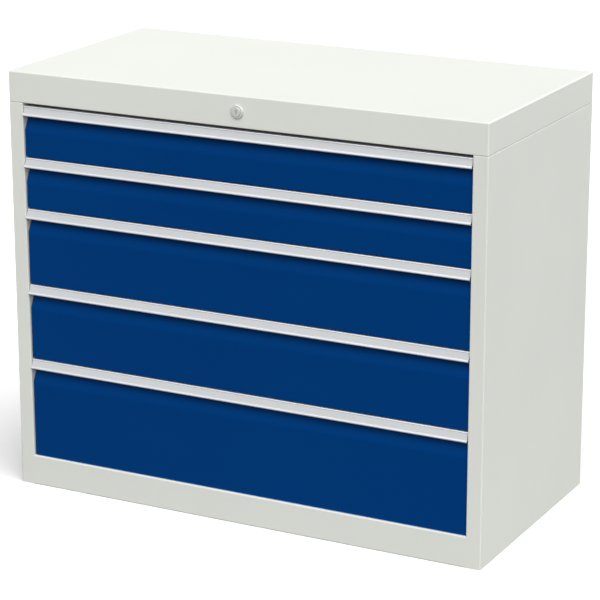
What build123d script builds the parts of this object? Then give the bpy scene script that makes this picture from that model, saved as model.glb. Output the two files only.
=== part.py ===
from build123d import *
import math
import os

# A workshop drawer unit: a folded sheet-steel carcass under a deep cap, five drawers on telescopic
# slides with full-width aluminium handles, and one lock in the cap that holds all the drawers.
# Millimetres. X runs across the front, the front faces -Y, and Z is up from the floor.

# Carcass
cabinet_width = 1000.0
cabinet_depth = 500.0
cap_height = 61.0
plinth_height = 61.0
upright_width = 30.0
upright_return = 24.0
panel_sheet = 1.2
bend_radius = 1.0
cap_edge_radius = 3.0
side_top_bend = 1.05
cap_foot_radius = 2.2
cap_flange = 12.0
side_top_flange = 16.0
rear_flange = 20.0
back_top_flange = 10.0
plinth_lip = 20.0
panel_play = 0.3
screw_edge = 0.3

# Drawer stack, listed from the top drawer down
front_heights = (99.0, 99.0, 150.0, 150.0, 201.0)
cap_gap = 6.0
drawer_gap = 3.0
lowest_gap = 1.0
front_side_play = 1.0
front_set_back = 4.5

# Blue sheet-steel fronts
front_sheet = 1.0
front_depth = 21.0
front_back_flange = 12.0
recess_start = 47.0
recess_end = 16.0
recess_bend = 30.0

# Aluminium handle strips
handle_reach = 8.0
handle_drop = 19.0
handle_wall = 1.6
nose_radius = 2.0
lip_thickness = 0.9
top_lip_length = 2.0
nose_lip_length = 2.7
face_plate = 1.5
clip_leg = 12.0
clip_play = 0.2
flange_below_top = 2.0

# Label strips
label_thickness = 0.8
label_play = 0.1
label_end_play = 0.5

# Drawer trays
tray_sheet = 1.0
tray_rise = 6.0
tray_rim_drop = 14.0
tray_rim_flange = 8.0
tray_rear_room = 58.0
tray_bend = 2.0
rim_start = 4.0

# Telescopic slides
slide_rear_room = 35.0
slide_height = 44.0
slide_depth = 14.0
slide_sheet = 1.5
slide_play = 0.35
slide_bend = 0.4
slide_lip = 5.0
slide_set_back = 4.0
slide_rise = 32.0
outer_face_inset = 2.0

# Runner posts and the hooks that hang the slides in them
post_depth = 32.0
post_sheet = 1.5
post_proud = 1.0
post_set_back = 2.0
rear_post_inset = 60.0
slot_width = 4.0
slot_height = 14.0
slot_spread = 24.0
hook_play = 0.4
hook_nose = 3.0
hook_height = 8.0

# Rivets through the rear flanges
rivet_radius = 2.0
rivet_head_radius = 4.0
rivet_head_height = 1.2
rivet_dome = 0.9
rivet_tail_radius = 3.0
rivet_tail_height = 1.0
rivet_play = 0.1
rivets_per_side = 6
rivet_end_inset = 40.0

# Screws that hold the cap down on the sides
screw_radius = 2.0
screw_head_radius = 3.5
screw_head_height = 2.0
screw_play = 0.1
screw_end_inset = 100.0
screws_per_side = 3

# Lock
lock_flange_radius = 13.0
lock_flange_height = 3.5
lock_flange_taper = 1.6
lock_barrel_radius = 9.9
lock_barrel_length = 26.0
lock_hole_play = 0.1
plug_radius = 7.0
plug_play = 0.1
plug_head_radius = 8.6
plug_head_height = 1.2
plug_collar_height = 3.0
plug_tail = 10.0
collar_play = 0.3
key_slot_width = 1.6
key_slot_height = 8.0
key_slot_depth = 4.0
nut_flat_radius = 12.5
nut_height = 4.0

# Rod, crank and the bearing at the back of the cap
rod_side = 6.0
rod_socket = 8.0
rod_play = 0.1
crank_hub_radius = 6.0
crank_hub_length = 9.0
crank_plate = 3.0
crank_rim = 5.0
crank_pin_radius = 2.0
crank_to_bar = 1.5
bearing_sheet = 2.0
bearing_half_width = 16.0
bearing_play = 0.1
bearing_below = 12.0
bearing_flange = 14.0

# Locking bar, its guides and the catches on the trays
bar_width = 20.0
bar_thickness = 3.0
bar_play = 0.4
bar_lift = 12.0
bar_head_half_width = 16.0
bar_head_below = 9.0
bar_head_above = 9.0
slot_slack = 0.6
bar_bottom_gap = 18.0
tooth_thickness = 4.0
tooth_length = 5.0
tooth_clear = 2.0
arm_height = 5.0
catch_sheet = 2.0
catch_width = 24.0
catch_reach = 24.0
catch_rise = 36.0
catch_foot = 8.0
catch_room = 3.0
tooth_gap = 2.0
guide_sheet = 1.5
guide_height = 14.0
guide_foot = 10.0
guide_bend = 0.5
stop_height = 6.0
hook_notch_play = 2.0

# Places worked out from the sizes above
lock_proud = lock_flange_height + collar_play + plug_head_height
front_face = -(lock_proud + cabinet_depth + rivet_head_height) / 2 + lock_proud
back_face = front_face + cabinet_depth
half_width = cabinet_width / 2
opening_half = half_width - upright_width
stack_height = cap_gap + sum(front_heights) + drawer_gap * (len(front_heights) - 1) + lowest_gap
seam_height = plinth_height + stack_height
cabinet_height = seam_height + cap_height
lock_height = seam_height + cap_height / 2
inner_side = half_width - panel_sheet
back_inner = back_face - 2 * panel_sheet
outer_bend = bend_radius + panel_sheet
post_face = opening_half - post_proud
tray_half_width = post_face - slide_depth
blue_face = front_face + front_set_back
tray_front = front_face + front_depth
tray_back = back_face - tray_rear_room
slide_front = tray_front + slide_set_back
slide_length = back_face - slide_rear_room - slide_front
front_half_width = opening_half - front_side_play
bar_back = back_inner - bar_play
bar_front = bar_back - bar_thickness
crank_angle = math.radians(45)
crank_radius = bar_lift / (2 * math.sin(crank_angle))
deck = plinth_height
drawers = range(1, len(front_heights) + 1)


def front_top(number):
    """Height of the top edge of a drawer's front, counting drawers from the top."""
    above = cap_gap + sum(front_heights[: number - 1]) + drawer_gap * (number - 1)
    return seam_height - above


def front_bottom(number):
    """Height of the bottom edge of a drawer's front."""
    return front_top(number) - front_heights[number - 1]


def slide_centre(number):
    """Height of the middle of a drawer's slides."""
    return front_bottom(number) + slide_rise


def block(x, y, z):
    """A box between two limits on each axis."""
    size = (x[1] - x[0], y[1] - y[0], z[1] - z[0])
    centre = ((x[0] + x[1]) / 2, (y[0] + y[1]) / 2, (z[0] + z[1]) / 2)
    return Pos(*centre) * Box(*size)


def bar_along_y(radius, start, end, height, x=0.0):
    """A round bar along Y at a height, between two places."""
    return Pos(x, (start + end) / 2, height) * Rot(90, 0, 0) * Cylinder(radius, end - start)


def mirrored(shape):
    """The same shape on the other side of the cabinet's middle."""
    return mirror(shape, about=Plane.YZ)


def offset_points(points, distance):
    """The corners of a line moved to its left by a distance, with mitred turns."""
    ways = []
    for a, b in zip(points, points[1:]):
        length = math.hypot(b[0] - a[0], b[1] - a[1])
        ways.append(((b[0] - a[0]) / length, (b[1] - a[1]) / length))
    moved = []
    for i, p in enumerate(points):
        before = ways[max(i - 1, 0)]
        after = ways[min(i, len(ways) - 1)]
        left = (-before[1] - after[1], before[0] + after[0])
        share = distance / (1 + before[0] * after[0] + before[1] * after[1])
        moved.append((p[0] + left[0] * share, p[1] + left[1] * share))
    return moved


def folded(points, sheet, inside_radius, bends=None):
    """The outline of a sheet folded along a line of points, laid on the line's left side.

    bends gives other inside radii, by the number of the corner they belong to.
    """
    far = offset_points(points, sheet)
    near_radii, far_radii = [], []
    for i in range(1, len(points) - 1):
        a, b, c = points[i - 1 : i + 2]
        turn = (b[0] - a[0]) * (c[1] - b[1]) - (b[1] - a[1]) * (c[0] - b[0])
        inside = (bends or {}).get(i, inside_radius)
        near_radii.append(inside + sheet if turn > 0 else inside)
        far_radii.append(inside if turn > 0 else inside + sheet)
    edges = []
    for line, radii in ((points, near_radii), (far, far_radii)):
        path = FilletPolyline(*line, radius=radii)
        edges.extend(path.edges())
    edges.append(Line(points[0], far[0]).edge())
    edges.append(Line(points[-1], far[-1]).edge())
    return Face(Wire.combine(edges)[0])


def upright_along_z(face, bottom, top):
    """A face drawn in X and Y, drawn up between two heights."""
    return Pos(0, 0, bottom) * extrude(face, amount=top - bottom, dir=(0, 0, 1))


def across_x(face, left, right):
    """A face drawn in Y and Z, drawn out across the cabinet."""
    return Pos(left, 0, 0) * extrude(Plane.YZ * face, amount=right - left, dir=(1, 0, 0))


def along_y(face, start, end):
    """A face drawn in X and Z, drawn out from front to back."""
    return Pos(0, start, 0) * extrude(Plane.XZ * face, amount=end - start, dir=(0, 1, 0))


def polygon(points):
    """A flat face with straight sides."""
    return Face(Wire(Polyline(*points, close=True).edges()))


# Carcass


def side_panel():
    """The right side: wall, front upright with its return, rear flange and top flange."""
    line = [
        (opening_half, front_face + upright_return),
        (opening_half, front_face),
        (half_width, front_face),
        (half_width, back_face),
        (half_width - rear_flange, back_face),
    ]
    panel = upright_along_z(folded(line, panel_sheet, bend_radius), 0, seam_height)
    bend = outer_bend
    panel -= block(
        (opening_half - bend, opening_half + bend),
        (front_face - bend, front_face + upright_return + bend),
        (-1, plinth_height),
    )
    outline = polygon([(x, y) for x, y in line[:4]] + [(opening_half, back_face)])
    corners = [v for v in outline.vertices() if v.Y < front_face + 1]
    corners += [v for v in outline.vertices() if v.X > half_width - 1 and v.Y > 0]
    outline = fillet(corners, bend)
    lid = upright_along_z(outline, seam_height - panel_sheet, seam_height)
    lid -= block(
        (opening_half - 1, half_width - side_top_flange),
        (front_face + upright_return, back_face + 1),
        (0, cabinet_height),
    )
    lid -= block((0, inner_side), (back_inner - panel_play, back_face + 1), (0, cabinet_height))
    panel += lid
    near = 0.01
    corner = bend * (1 - math.sqrt(0.5)) + near
    rim = panel.edges().filter_by(lambda e: e.center().Z > seam_height - near)
    outer = [
        e
        for e in rim
        if e.center().X > half_width - corner
        or (e.center().Y < front_face + corner and e.center().X > opening_half + bend - near)
    ]
    panel = fillet(outer, min(side_top_bend, panel_sheet - near))
    hole = bar_along_y(rivet_radius + rivet_play, back_face - 2 * panel_sheet - 1, back_face + 1, 0)
    for height in rivet_heights():
        panel -= Pos(rivet_place(), 0, height) * hole
    for x, y in screw_places():
        if x > 0:
            panel -= screw_hole(x, y)
    return panel


def rivet_place():
    """How far from the middle the rivets stand."""
    return half_width - rear_flange / 2 - panel_sheet / 2


def rivet_heights():
    """Heights of the rivets that hold the back panel."""
    low = plinth_height + rivet_end_inset
    high = seam_height - rivet_end_inset
    step = (high - low) / (rivets_per_side - 1)
    return [low + step * i for i in range(rivets_per_side)]


def screw_places():
    """Where the screws go up through the top flanges of the sides into the cap."""
    x = inner_side - bend_radius - screw_edge - screw_head_radius
    first = front_face + screw_end_inset
    step = (cabinet_depth - 2 * screw_end_inset) / (screws_per_side - 1)
    rows = [first + step * i for i in range(screws_per_side)]
    return [(side * x, y) for side in (-1, 1) for y in rows]


def screw_hole(x, y):
    """A screw hole through the flanges of a side and the cap."""
    depth = 4 * panel_sheet
    return Pos(x, y, seam_height) * Cylinder(screw_radius + screw_play, depth)


def cap_screws():
    """Pan-head screws from below, through the sides' flanges into the cap's flange."""
    under = seam_height - panel_sheet
    top = seam_height + 2 * panel_sheet
    shank = Pos(0, 0, (under + top) / 2) * Cylinder(screw_radius, top - under)
    head = Pos(0, 0, under - screw_head_height / 2) * Cylinder(screw_head_radius, screw_head_height)
    head = fillet(head.edges().group_by(Axis.Z)[0], screw_head_height / 2)
    screw = shank + head
    return Compound([Pos(x, y, 0) * screw for x, y in screw_places()])


def base_pan():
    """Floor of the cabinet with the plinth folded down from it at the front and back."""
    line = [
        (back_inner + panel_sheet - plinth_lip, 0),
        (back_inner + panel_sheet, 0),
        (back_inner + panel_sheet, plinth_height),
        (front_face, plinth_height),
        (front_face, 0),
        (front_face + plinth_lip, 0),
    ]
    pan = across_x(folded(line, panel_sheet, bend_radius), -inner_side, inner_side)
    for side in (-1, 1):
        ends = sorted((side * (opening_half + outer_bend), side * (inner_side + 1)))
        pan -= block(ends, (front_face - 1, front_face + outer_bend), (-1, plinth_height + 1))
        corner = sorted((side * (inner_side - bend_radius), side * (inner_side + 1)))
        relief = (back_inner + panel_sheet - bend_radius, back_face)
        pan -= block(corner, relief, (-1, plinth_height + 1))
    return pan


def back_panel():
    """Back sheet with a flange folded forward under the cap, notched for the locking bar."""
    line = [
        (back_inner + panel_sheet, plinth_height),
        (back_inner + panel_sheet, seam_height),
        (back_inner - back_top_flange, seam_height),
    ]
    width = inner_side - bend_radius
    panel = across_x(folded(line, panel_sheet, bend_radius), -width, width)
    flange_end = inner_side - side_top_flange - panel_play
    for side in (-1, 1):
        corner = sorted((side * flange_end, side * (width + 1)))
        panel -= block(corner, (tray_back, back_inner), (seam_height - outer_bend, seam_height + 1))
    panel -= bar_notch()
    hole = bar_along_y(rivet_radius + rivet_play, back_inner - 1, back_face + 1, 0)
    for height in rivet_heights():
        panel -= Pos(rivet_place(), 0, height) * hole
        panel -= Pos(-rivet_place(), 0, height) * hole
    return panel


def bar_notch():
    """Room for the locking bar where it passes the flanges between carcass and cap."""
    reach = bar_width / 2 + hook_notch_play
    return block(
        (-reach, reach),
        (bar_front - hook_notch_play, back_inner),
        (seam_height - outer_bend - 1, seam_height + outer_bend + 1),
    )


def top_cap():
    """The deep cap: a folded lid with skirts all round and a flange turned in under them."""
    depth_centre = (front_face + back_face) / 2
    plan = RectangleRounded(cabinet_width, cabinet_depth, outer_bend)
    cap = Pos(0, depth_centre, seam_height) * extrude(plan, amount=cap_height)
    cap = fillet(cap.edges().group_by(Axis.Z)[-1], cap_edge_radius)
    cap = fillet(cap.edges().group_by(Axis.Z)[0], cap_foot_radius)
    inside = RectangleRounded(
        cabinet_width - 2 * panel_sheet, cabinet_depth - 2 * panel_sheet, bend_radius
    )
    room = extrude(inside, amount=cap_height - 2 * panel_sheet)
    room = fillet(room.edges().group_by(Axis.Z)[-1], cap_edge_radius - panel_sheet)
    room = fillet(room.edges().group_by(Axis.Z)[0], cap_foot_radius - panel_sheet)
    cap -= Pos(0, depth_centre, seam_height + panel_sheet) * room
    cap -= block(
        (-half_width + cap_flange, half_width - cap_flange),
        (front_face + cap_flange, back_face - cap_flange),
        (seam_height - 1, seam_height + cap_height / 2),
    )
    cap -= bar_notch()
    hole = lock_barrel_radius + lock_hole_play
    cap -= bar_along_y(hole, front_face - 1, front_face + panel_sheet + 1, lock_height)
    for x, y in screw_places():
        cap -= screw_hole(x, y)
    return cap


def post_place(rear):
    """Where a runner post starts, from front to back."""
    if rear:
        return slide_front + slide_length - rear_post_inset
    return front_face + upright_return + post_set_back


def runner_post(rear):
    """A right-hand channel post with a pair of hook slots for each drawer."""
    start = post_place(rear)
    line = [
        (inner_side, start + post_depth),
        (post_face, start + post_depth),
        (post_face, start),
        (inner_side, start),
    ]
    top = seam_height - panel_sheet
    post = upright_along_z(folded(line, post_sheet, bend_radius), deck, top)
    middle = start + post_depth / 2
    for number in drawers:
        for height in hook_heights(number):
            post -= block(
                (post_face - 1, post_face + post_sheet + 1),
                (middle - slot_width / 2, middle + slot_width / 2),
                (height - slot_height / 2, height + slot_height / 2),
            )
    return post


def hook_heights(number):
    """Heights of the two hooks of a slide."""
    middle = slide_centre(number)
    return (middle - slot_spread / 2, middle + slot_spread / 2)


def back_rivets():
    """Blind rivets, head outside and tail inside, through the rear flanges and the back panel."""
    rivet = bar_along_y(rivet_radius, back_inner - rivet_tail_height, back_face, 0)
    tail_end = back_inner - rivet_tail_height
    rivet += bar_along_y(rivet_tail_radius, tail_end, back_inner, 0)
    head = bar_along_y(rivet_head_radius, back_face, back_face + rivet_head_height, 0)
    head = fillet(head.edges().group_by(Axis.Y)[-1], rivet_dome)
    rivet += head
    places = [(side * rivet_place(), height) for side in (-1, 1) for height in rivet_heights()]
    return Compound([Pos(x, 0, z) * rivet for x, z in places])


# Telescopic slides, drawn for the right side of the cabinet


def slide_outer(number):
    """Cabinet rail: a lipped channel hung in the posts by hooks."""
    half = slide_height / 2
    mouth = slide_depth - outer_face_inset
    line = [
        (mouth, half - slide_lip),
        (mouth, half),
        (0, half),
        (0, -half),
        (mouth, -half),
        (mouth, -half + slide_lip),
    ]
    rail = place_rail(folded(line, slide_sheet, slide_bend), number)
    for rear in (False, True):
        middle = post_place(rear) + post_depth / 2
        thick = slot_width / 2 - hook_play
        for height in hook_heights(number):
            low = height - slot_height / 2 + hook_play
            rail += block(
                (post_face - slide_sheet / 2, post_face + post_sheet + hook_nose),
                (middle - thick, middle + thick),
                (low + hook_nose, low + hook_nose + hook_height),
            )
            rail += block(
                (post_face + post_sheet + hook_play, post_face + post_sheet + hook_nose),
                (middle - thick, middle + thick),
                (low, low + hook_nose + hook_height),
            )
    return rail


def place_rail(face, number):
    """A rail from its section, whose x runs from the post face towards the tray."""
    face = mirror(face, about=Plane.YZ)
    rail = along_y(face, slide_front, slide_front + slide_length)
    return Pos(post_face, 0, slide_centre(number)) * rail


def slide_middle(number):
    """Middle rail: a lipped channel that runs inside the cabinet rail."""
    inset = slide_sheet + slide_play
    half = slide_height / 2 - inset
    mouth = slide_depth - outer_face_inset - inset
    line = [
        (mouth, half - slide_lip),
        (mouth, half),
        (inset, half),
        (inset, -half),
        (mouth, -half),
        (mouth, -half + slide_lip),
    ]
    return place_rail(folded(line, slide_sheet, slide_bend), number)


def slide_inner(number):
    """Drawer rail: a hat section held behind the middle rail's lips, its crown on the tray."""
    inset = slide_sheet + slide_play
    brim_top = slide_height / 2 - 2 * inset
    leg = slide_height / 2 - inset - slide_lip - slide_play
    brim = slide_depth - outer_face_inset - 2 * inset
    line = [
        (brim, -brim_top),
        (brim, -leg),
        (slide_depth, -leg),
        (slide_depth, leg),
        (brim, leg),
        (brim, brim_top),
    ]
    return place_rail(folded(line, slide_sheet, slide_bend), number)


def pair(shape):
    """A right-hand piece and its mirror image, as two solids of one node."""
    return Compound([shape, mirrored(shape)])


# Drawers


def drawer_front(number):
    """Blue front: a folded pan whose top leans back behind the handle for the fingers."""
    top, bottom = front_top(number), front_bottom(number)
    back = front_face + front_depth
    lean = back - front_sheet
    line = [
        (lean, top - flange_below_top),
        (lean, top - recess_end),
        (blue_face, top - recess_start),
        (blue_face, bottom),
        (back, bottom),
        (back, bottom + front_back_flange),
    ]
    section = folded(line, front_sheet, front_sheet / 2, {2: recess_bend})
    front = across_x(section, -front_half_width, front_half_width)
    cheek_line = [*line[1:4], (back, bottom), (back, top - recess_end)]
    cheek_face = polygon(cheek_line)
    bent = [v for v in cheek_face.vertices() if abs(v.Y - (top - recess_start)) < 0.01]
    cheek_face = fillet(bent, recess_bend + front_sheet)
    cheek = across_x(cheek_face, front_half_width - front_sheet, front_half_width)
    flange = block(
        (front_half_width - front_back_flange, front_half_width),
        (lean, back),
        (bottom + front_sheet, top - recess_end),
    )
    for piece in (cheek, mirrored(cheek), flange, mirrored(flange)):
        front += piece
    return front


def face_frame():
    """Way down the handle's face, way into it, and the length down to the nose."""
    centre = (nose_radius - handle_reach, nose_radius - handle_drop)
    distance = math.hypot(*centre)
    angle = math.atan2(centre[1], centre[0]) - math.asin(nose_radius / distance)
    down = (math.cos(angle), math.sin(angle))
    inward = (-down[1], down[0])
    return down, inward, math.sqrt(distance**2 - nose_radius**2)


def on_face(top, start, end, outer, inner):
    """A rectangle laid along the handle's face, between two lengths down and two depths in."""
    down, inward, _ = face_frame()
    corners = []
    for length, depth in ((start, outer), (end, outer), (end, inner), (start, inner)):
        y = blue_face + down[0] * length + inward[0] * depth
        z = top + down[1] * length + inward[1] * depth
        corners.append((y, z))
    return polygon(corners)


def handle(number):
    """Aluminium strip: clipped over the front's top flange, with a sloping label channel."""
    top = front_top(number)
    _, _, length = face_frame()
    recess = lip_thickness + label_thickness + label_play
    plate = recess + face_plate
    grip_front = front_face + front_depth - front_sheet - clip_play
    grip_back = tray_front + tray_sheet + clip_play
    rear = grip_back + handle_wall
    section = on_face(top, 0, length, recess, plate)
    section += on_face(top, 0, lip_thickness, 0, plate)
    section += on_face(top, 0, top_lip_length, 0, lip_thickness)
    section += on_face(top, length - nose_lip_length, length, 0, lip_thickness)
    nose = (blue_face - handle_reach + nose_radius, top - handle_drop + nose_radius)
    section += Pos(*nose) * Circle(nose_radius).face()
    web = (blue_face, rear, top - handle_wall, top)
    front_leg = (grip_front - handle_wall, grip_front, top - clip_leg, top)
    rear_leg = (grip_back, rear, top - clip_leg, top)
    for y0, y1, z0, z1 in (web, front_leg, rear_leg):
        section += polygon([(y0, z0), (y1, z0), (y1, z1), (y0, z1)])
    return across_x(section.faces()[0], -front_half_width, front_half_width)


def label_strip(number):
    """Stiff label strip slid into the handle's channel."""
    top = front_top(number)
    _, _, length = face_frame()
    low = lip_thickness + label_play / 2
    face = on_face(
        top,
        handle_wall + label_play,
        length - nose_radius - label_play,
        low,
        low + label_thickness,
    )
    half = front_half_width - label_end_play
    return across_x(face, -half, half)


def tray(number):
    """Open sheet-steel tray with a flange turned out along each side's rim."""
    bottom = front_bottom(number) + tray_rise
    rim = front_top(number) - tray_rim_drop
    front_rim = front_top(number) - flange_below_top
    middle = (tray_front + tray_back) / 2
    length = tray_back - tray_front
    shell = Pos(0, middle, bottom) * extrude(
        Rectangle(2 * tray_half_width, length), amount=rim - bottom
    )
    shell = fillet(shell.edges().group_by(Axis.Z)[0], tray_bend)
    room = extrude(
        Rectangle(2 * (tray_half_width - tray_sheet), length - 2 * tray_sheet),
        amount=rim - bottom,
    )
    room = fillet(room.edges().group_by(Axis.Z)[0], tray_bend - tray_sheet)
    shell -= Pos(0, middle, bottom + tray_sheet) * room
    shell += block(
        (-tray_half_width, tray_half_width),
        (tray_front, tray_front + tray_sheet),
        (rim - tray_sheet, front_rim),
    )
    edge = block(
        (tray_half_width - tray_sheet, tray_half_width + tray_rim_flange),
        (tray_front + rim_start, tray_back),
        (rim - tray_sheet, rim),
    )
    return shell + edge + mirrored(edge)


def catch_foot_height(number):
    """Height of the lower end of a catch's lip."""
    return front_bottom(number) + catch_rise


def lip_length():
    """How far a catch's lip hangs below its arm."""
    return bar_lift - tooth_clear + catch_room


def catch(number):
    """Bracket on the tray's back whose lip the locking bar's tooth stands in front of."""
    low = catch_foot_height(number)
    under = low + lip_length()
    half = catch_width / 2
    piece = block((-half, half), (tray_back, tray_back + catch_reach), (under, under + catch_sheet))
    piece += block(
        (-half, half),
        (tray_back + catch_reach - catch_sheet, tray_back + catch_reach),
        (low, under + catch_sheet),
    )
    piece += block(
        (-half, half),
        (tray_back, tray_back + catch_sheet),
        (under, under + catch_sheet + catch_foot),
    )
    return piece


# Locking bar and what moves it


def locking_bar():
    """Flat bar at the back, with a slotted head that the crank lifts it by."""
    head_low = lock_height - crank_radius * math.sin(crank_angle) - bar_head_below
    slot_middle = head_low + bar_head_below
    head_top = slot_middle + bar_head_above
    bar = block((-bar_width / 2, bar_width / 2), (bar_front, bar_back), (bar_foot(), head_top))
    head = (-bar_head_half_width, bar_head_half_width)
    bar += block(head, (bar_front, bar_back), (head_low, head_top))
    near = crank_radius * math.cos(crank_angle) - crank_pin_radius - slot_slack
    far = crank_radius + crank_pin_radius + slot_slack
    high = crank_pin_radius + slot_slack
    heights = (slot_middle - high, slot_middle + high)
    return bar - block((-far, -near), (bar_front - 1, bar_back + 1), heights)


def bar_hook(number):
    """Hook welded to the locking bar: an arm forward and a tooth up before a catch's lip."""
    tooth_top = catch_foot_height(number) - tooth_clear
    tooth_back = tray_back + catch_reach - catch_sheet - tooth_gap
    tooth_front = tooth_back - tooth_length
    arm_top = tooth_top - bar_lift
    low = arm_top - arm_height
    width = (-tooth_thickness / 2, tooth_thickness / 2)
    arm = block(width, (tooth_front, bar_front), (low, arm_top))
    return arm + block(width, (tooth_front, tooth_back), (low, tooth_top))


def bar_foot():
    """Height of the locking bar's lower end."""
    return plinth_height + bar_bottom_gap


def guide_places():
    """Heights of the guides' lower ends: above the lowest tooth's arm, then between catches."""
    low = catch_foot_height(drawers[-1])
    gaps = [front_top(number) - tray_rim_drop for number in drawers[::-2]]
    return [low, *[height - guide_height / 2 for height in gaps]]


def bar_guides():
    """Hat-shaped guides fixed to the back panel, and the stop that the bar rests on."""
    half = bar_width / 2 + bar_play
    crown = bar_front - bar_play - guide_sheet
    line = [
        (half + guide_sheet + guide_foot, back_inner - guide_sheet),
        (half + guide_sheet, back_inner - guide_sheet),
        (half + guide_sheet, crown),
        (-half - guide_sheet, crown),
        (-half - guide_sheet, back_inner - guide_sheet),
        (-half - guide_sheet - guide_foot, back_inner - guide_sheet),
    ]
    section = folded(line[::-1], guide_sheet, guide_bend)
    guides = [upright_along_z(section, z, z + guide_height) for z in guide_places()]
    stop = block(
        (-half, half), (crown, back_inner), (bar_foot() - stop_height, bar_foot())
    )
    return Compound([*guides, stop])


def crank():
    """Crank on the rod's end: hub, arm and the pin that lifts the locking bar."""
    plate_back = bar_front - crank_to_bar
    plate_front = plate_back - crank_plate
    pin = (
        -crank_radius * math.cos(crank_angle),
        lock_height - crank_radius * math.sin(crank_angle),
    )
    arm = SlotCenterToCenter(crank_radius, 2 * crank_rim)
    arm = Rot(0, 0, math.degrees(crank_angle)) * arm
    middle = (pin[0] / 2, (pin[1] + lock_height) / 2)
    arm = along_y(Pos(*middle) * arm.face(), plate_front, plate_back)
    hub_start = plate_front - crank_hub_length
    piece = arm + bar_along_y(crank_hub_radius, hub_start, plate_back, lock_height)
    piece += bar_along_y(crank_pin_radius, plate_back, bar_back, pin[1], pin[0])
    socket = rod_side / 2 + rod_play
    piece -= block(
        (-socket, socket),
        (hub_start - 1, hub_start + rod_socket),
        (lock_height - socket, lock_height + socket),
    )
    return piece


def rod_end():
    """Where the lock's rod ends, in the crank's socket."""
    return bar_front - crank_to_bar - crank_plate - crank_hub_length + rod_socket


def plug_end():
    """Where the lock plug's tail ends."""
    return front_face + lock_barrel_length + collar_play + plug_collar_height + plug_tail


def lock_rod():
    """Square rod from the lock to the crank."""
    half = rod_side / 2
    start = plug_end() - rod_socket
    return block((-half, half), (start, rod_end()), (lock_height - half, lock_height + half))


def lock_plug():
    """Lock cylinder with its key slot, the collar behind the barrel and a square socket."""
    head_back = front_face - lock_flange_height - collar_play
    head_front = head_back - plug_head_height
    collar = front_face + lock_barrel_length + collar_play
    plug = bar_along_y(plug_radius, head_front, plug_end(), lock_height)
    head = bar_along_y(plug_head_radius, head_front, head_back, lock_height)
    plug += fillet(head.edges().group_by(Axis.Y)[0], plug_head_height / 2)
    plug += bar_along_y(plug_head_radius, collar, collar + plug_collar_height, lock_height)
    plug -= block(
        (-key_slot_width / 2, key_slot_width / 2),
        (head_front - 1, head_front + key_slot_depth),
        (lock_height - key_slot_height / 2, lock_height + key_slot_height / 2),
    )
    socket = rod_side / 2 + rod_play
    plug -= block(
        (-socket, socket),
        (plug_end() - rod_socket, plug_end() + 1),
        (lock_height - socket, lock_height + socket),
    )
    return plug


def lock_housing():
    """Lock barrel through the cap's front skirt, with a tapered flange outside."""
    flange = bar_along_y(
        lock_flange_radius, front_face - lock_flange_height, front_face, lock_height
    )
    flange = chamfer(flange.edges().group_by(Axis.Y)[0], lock_flange_taper)
    barrel = bar_along_y(
        lock_barrel_radius, front_face, front_face + lock_barrel_length, lock_height
    )
    bore = bar_along_y(
        plug_radius + plug_play,
        front_face - lock_flange_height - 1,
        front_face + lock_barrel_length + 1,
        lock_height,
    )
    return flange + barrel - bore


def lock_nut():
    """Hexagon nut that holds the lock against the inside of the skirt."""
    start = front_face + panel_sheet
    face = RegularPolygon(nut_flat_radius, 6, major_radius=False).face()
    nut = along_y(Pos(0, lock_height) * face, start, start + nut_height)
    hole = lock_barrel_radius + lock_hole_play
    return nut - bar_along_y(hole, start - 1, start + nut_height + 1, lock_height)


def rod_bearing():
    """Bracket under the cap that carries the crank's hub."""
    under_lid = cabinet_height - panel_sheet
    hub_back = bar_front - crank_to_bar - crank_plate
    back = hub_back - crank_hub_length / 2 + bearing_sheet / 2
    line = [
        (back, lock_height - bearing_below),
        (back, under_lid),
        (back - bearing_flange, under_lid),
    ]
    section = folded(line, bearing_sheet, bend_radius)
    bracket = across_x(section, -bearing_half_width, bearing_half_width)
    hole = crank_hub_radius + bearing_play
    return bracket - bar_along_y(hole, back - bearing_sheet - 1, back + 1, lock_height)


def build():
    """Every node of the drawer unit, by name."""
    right_side = side_panel()
    nodes = {
        "right_side_panel": right_side,
        "left_side_panel": mirrored(right_side),
        "base_pan": base_pan(),
        "back_panel": back_panel(),
        "top_cap": top_cap(),
        "back_rivets": back_rivets(),
        "cap_screws": cap_screws(),
        "locking_bar": locking_bar(),
        "bar_hooks": Compound([bar_hook(number) for number in drawers]),
        "bar_guides": bar_guides(),
        "lock_crank": crank(),
        "lock_rod": lock_rod(),
        "lock_plug": lock_plug(),
        "lock_housing": lock_housing(),
        "lock_nut": lock_nut(),
        "rod_bearing": rod_bearing(),
    }
    for rear, place in ((False, "front"), (True, "rear")):
        post = runner_post(rear)
        nodes[f"{place}_post_right"] = post
        nodes[f"{place}_post_left"] = mirrored(post)
    for number in drawers:
        name = f"drawer_{number}"
        nodes[f"{name}_front"] = drawer_front(number)
        nodes[f"{name}_handle"] = handle(number)
        nodes[f"{name}_label_strip"] = label_strip(number)
        nodes[f"{name}_tray"] = tray(number)
        nodes[f"{name}_catch"] = catch(number)
        nodes[f"{name}_outer_rails"] = pair(slide_outer(number))
        nodes[f"{name}_middle_rails"] = pair(slide_middle(number))
        nodes[f"{name}_inner_rails"] = pair(slide_inner(number))
    return nodes


def main():
    """Write one STEP file for each node."""
    os.makedirs("parts", exist_ok=True)
    for name, shape in build().items():
        export_step(shape, f"parts/{name}.step")


main()
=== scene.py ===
"""Visual model of a workshop drawer unit: folded painted steel, aluminium handles, slides and a lock."""

from __future__ import annotations

import logging
import math
from contextlib import contextmanager
from dataclasses import dataclass
from enum import Enum
from typing import Callable, ClassVar, Iterator, Sequence

import bmesh
import bpy
from mathutils import Matrix, Vector


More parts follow.
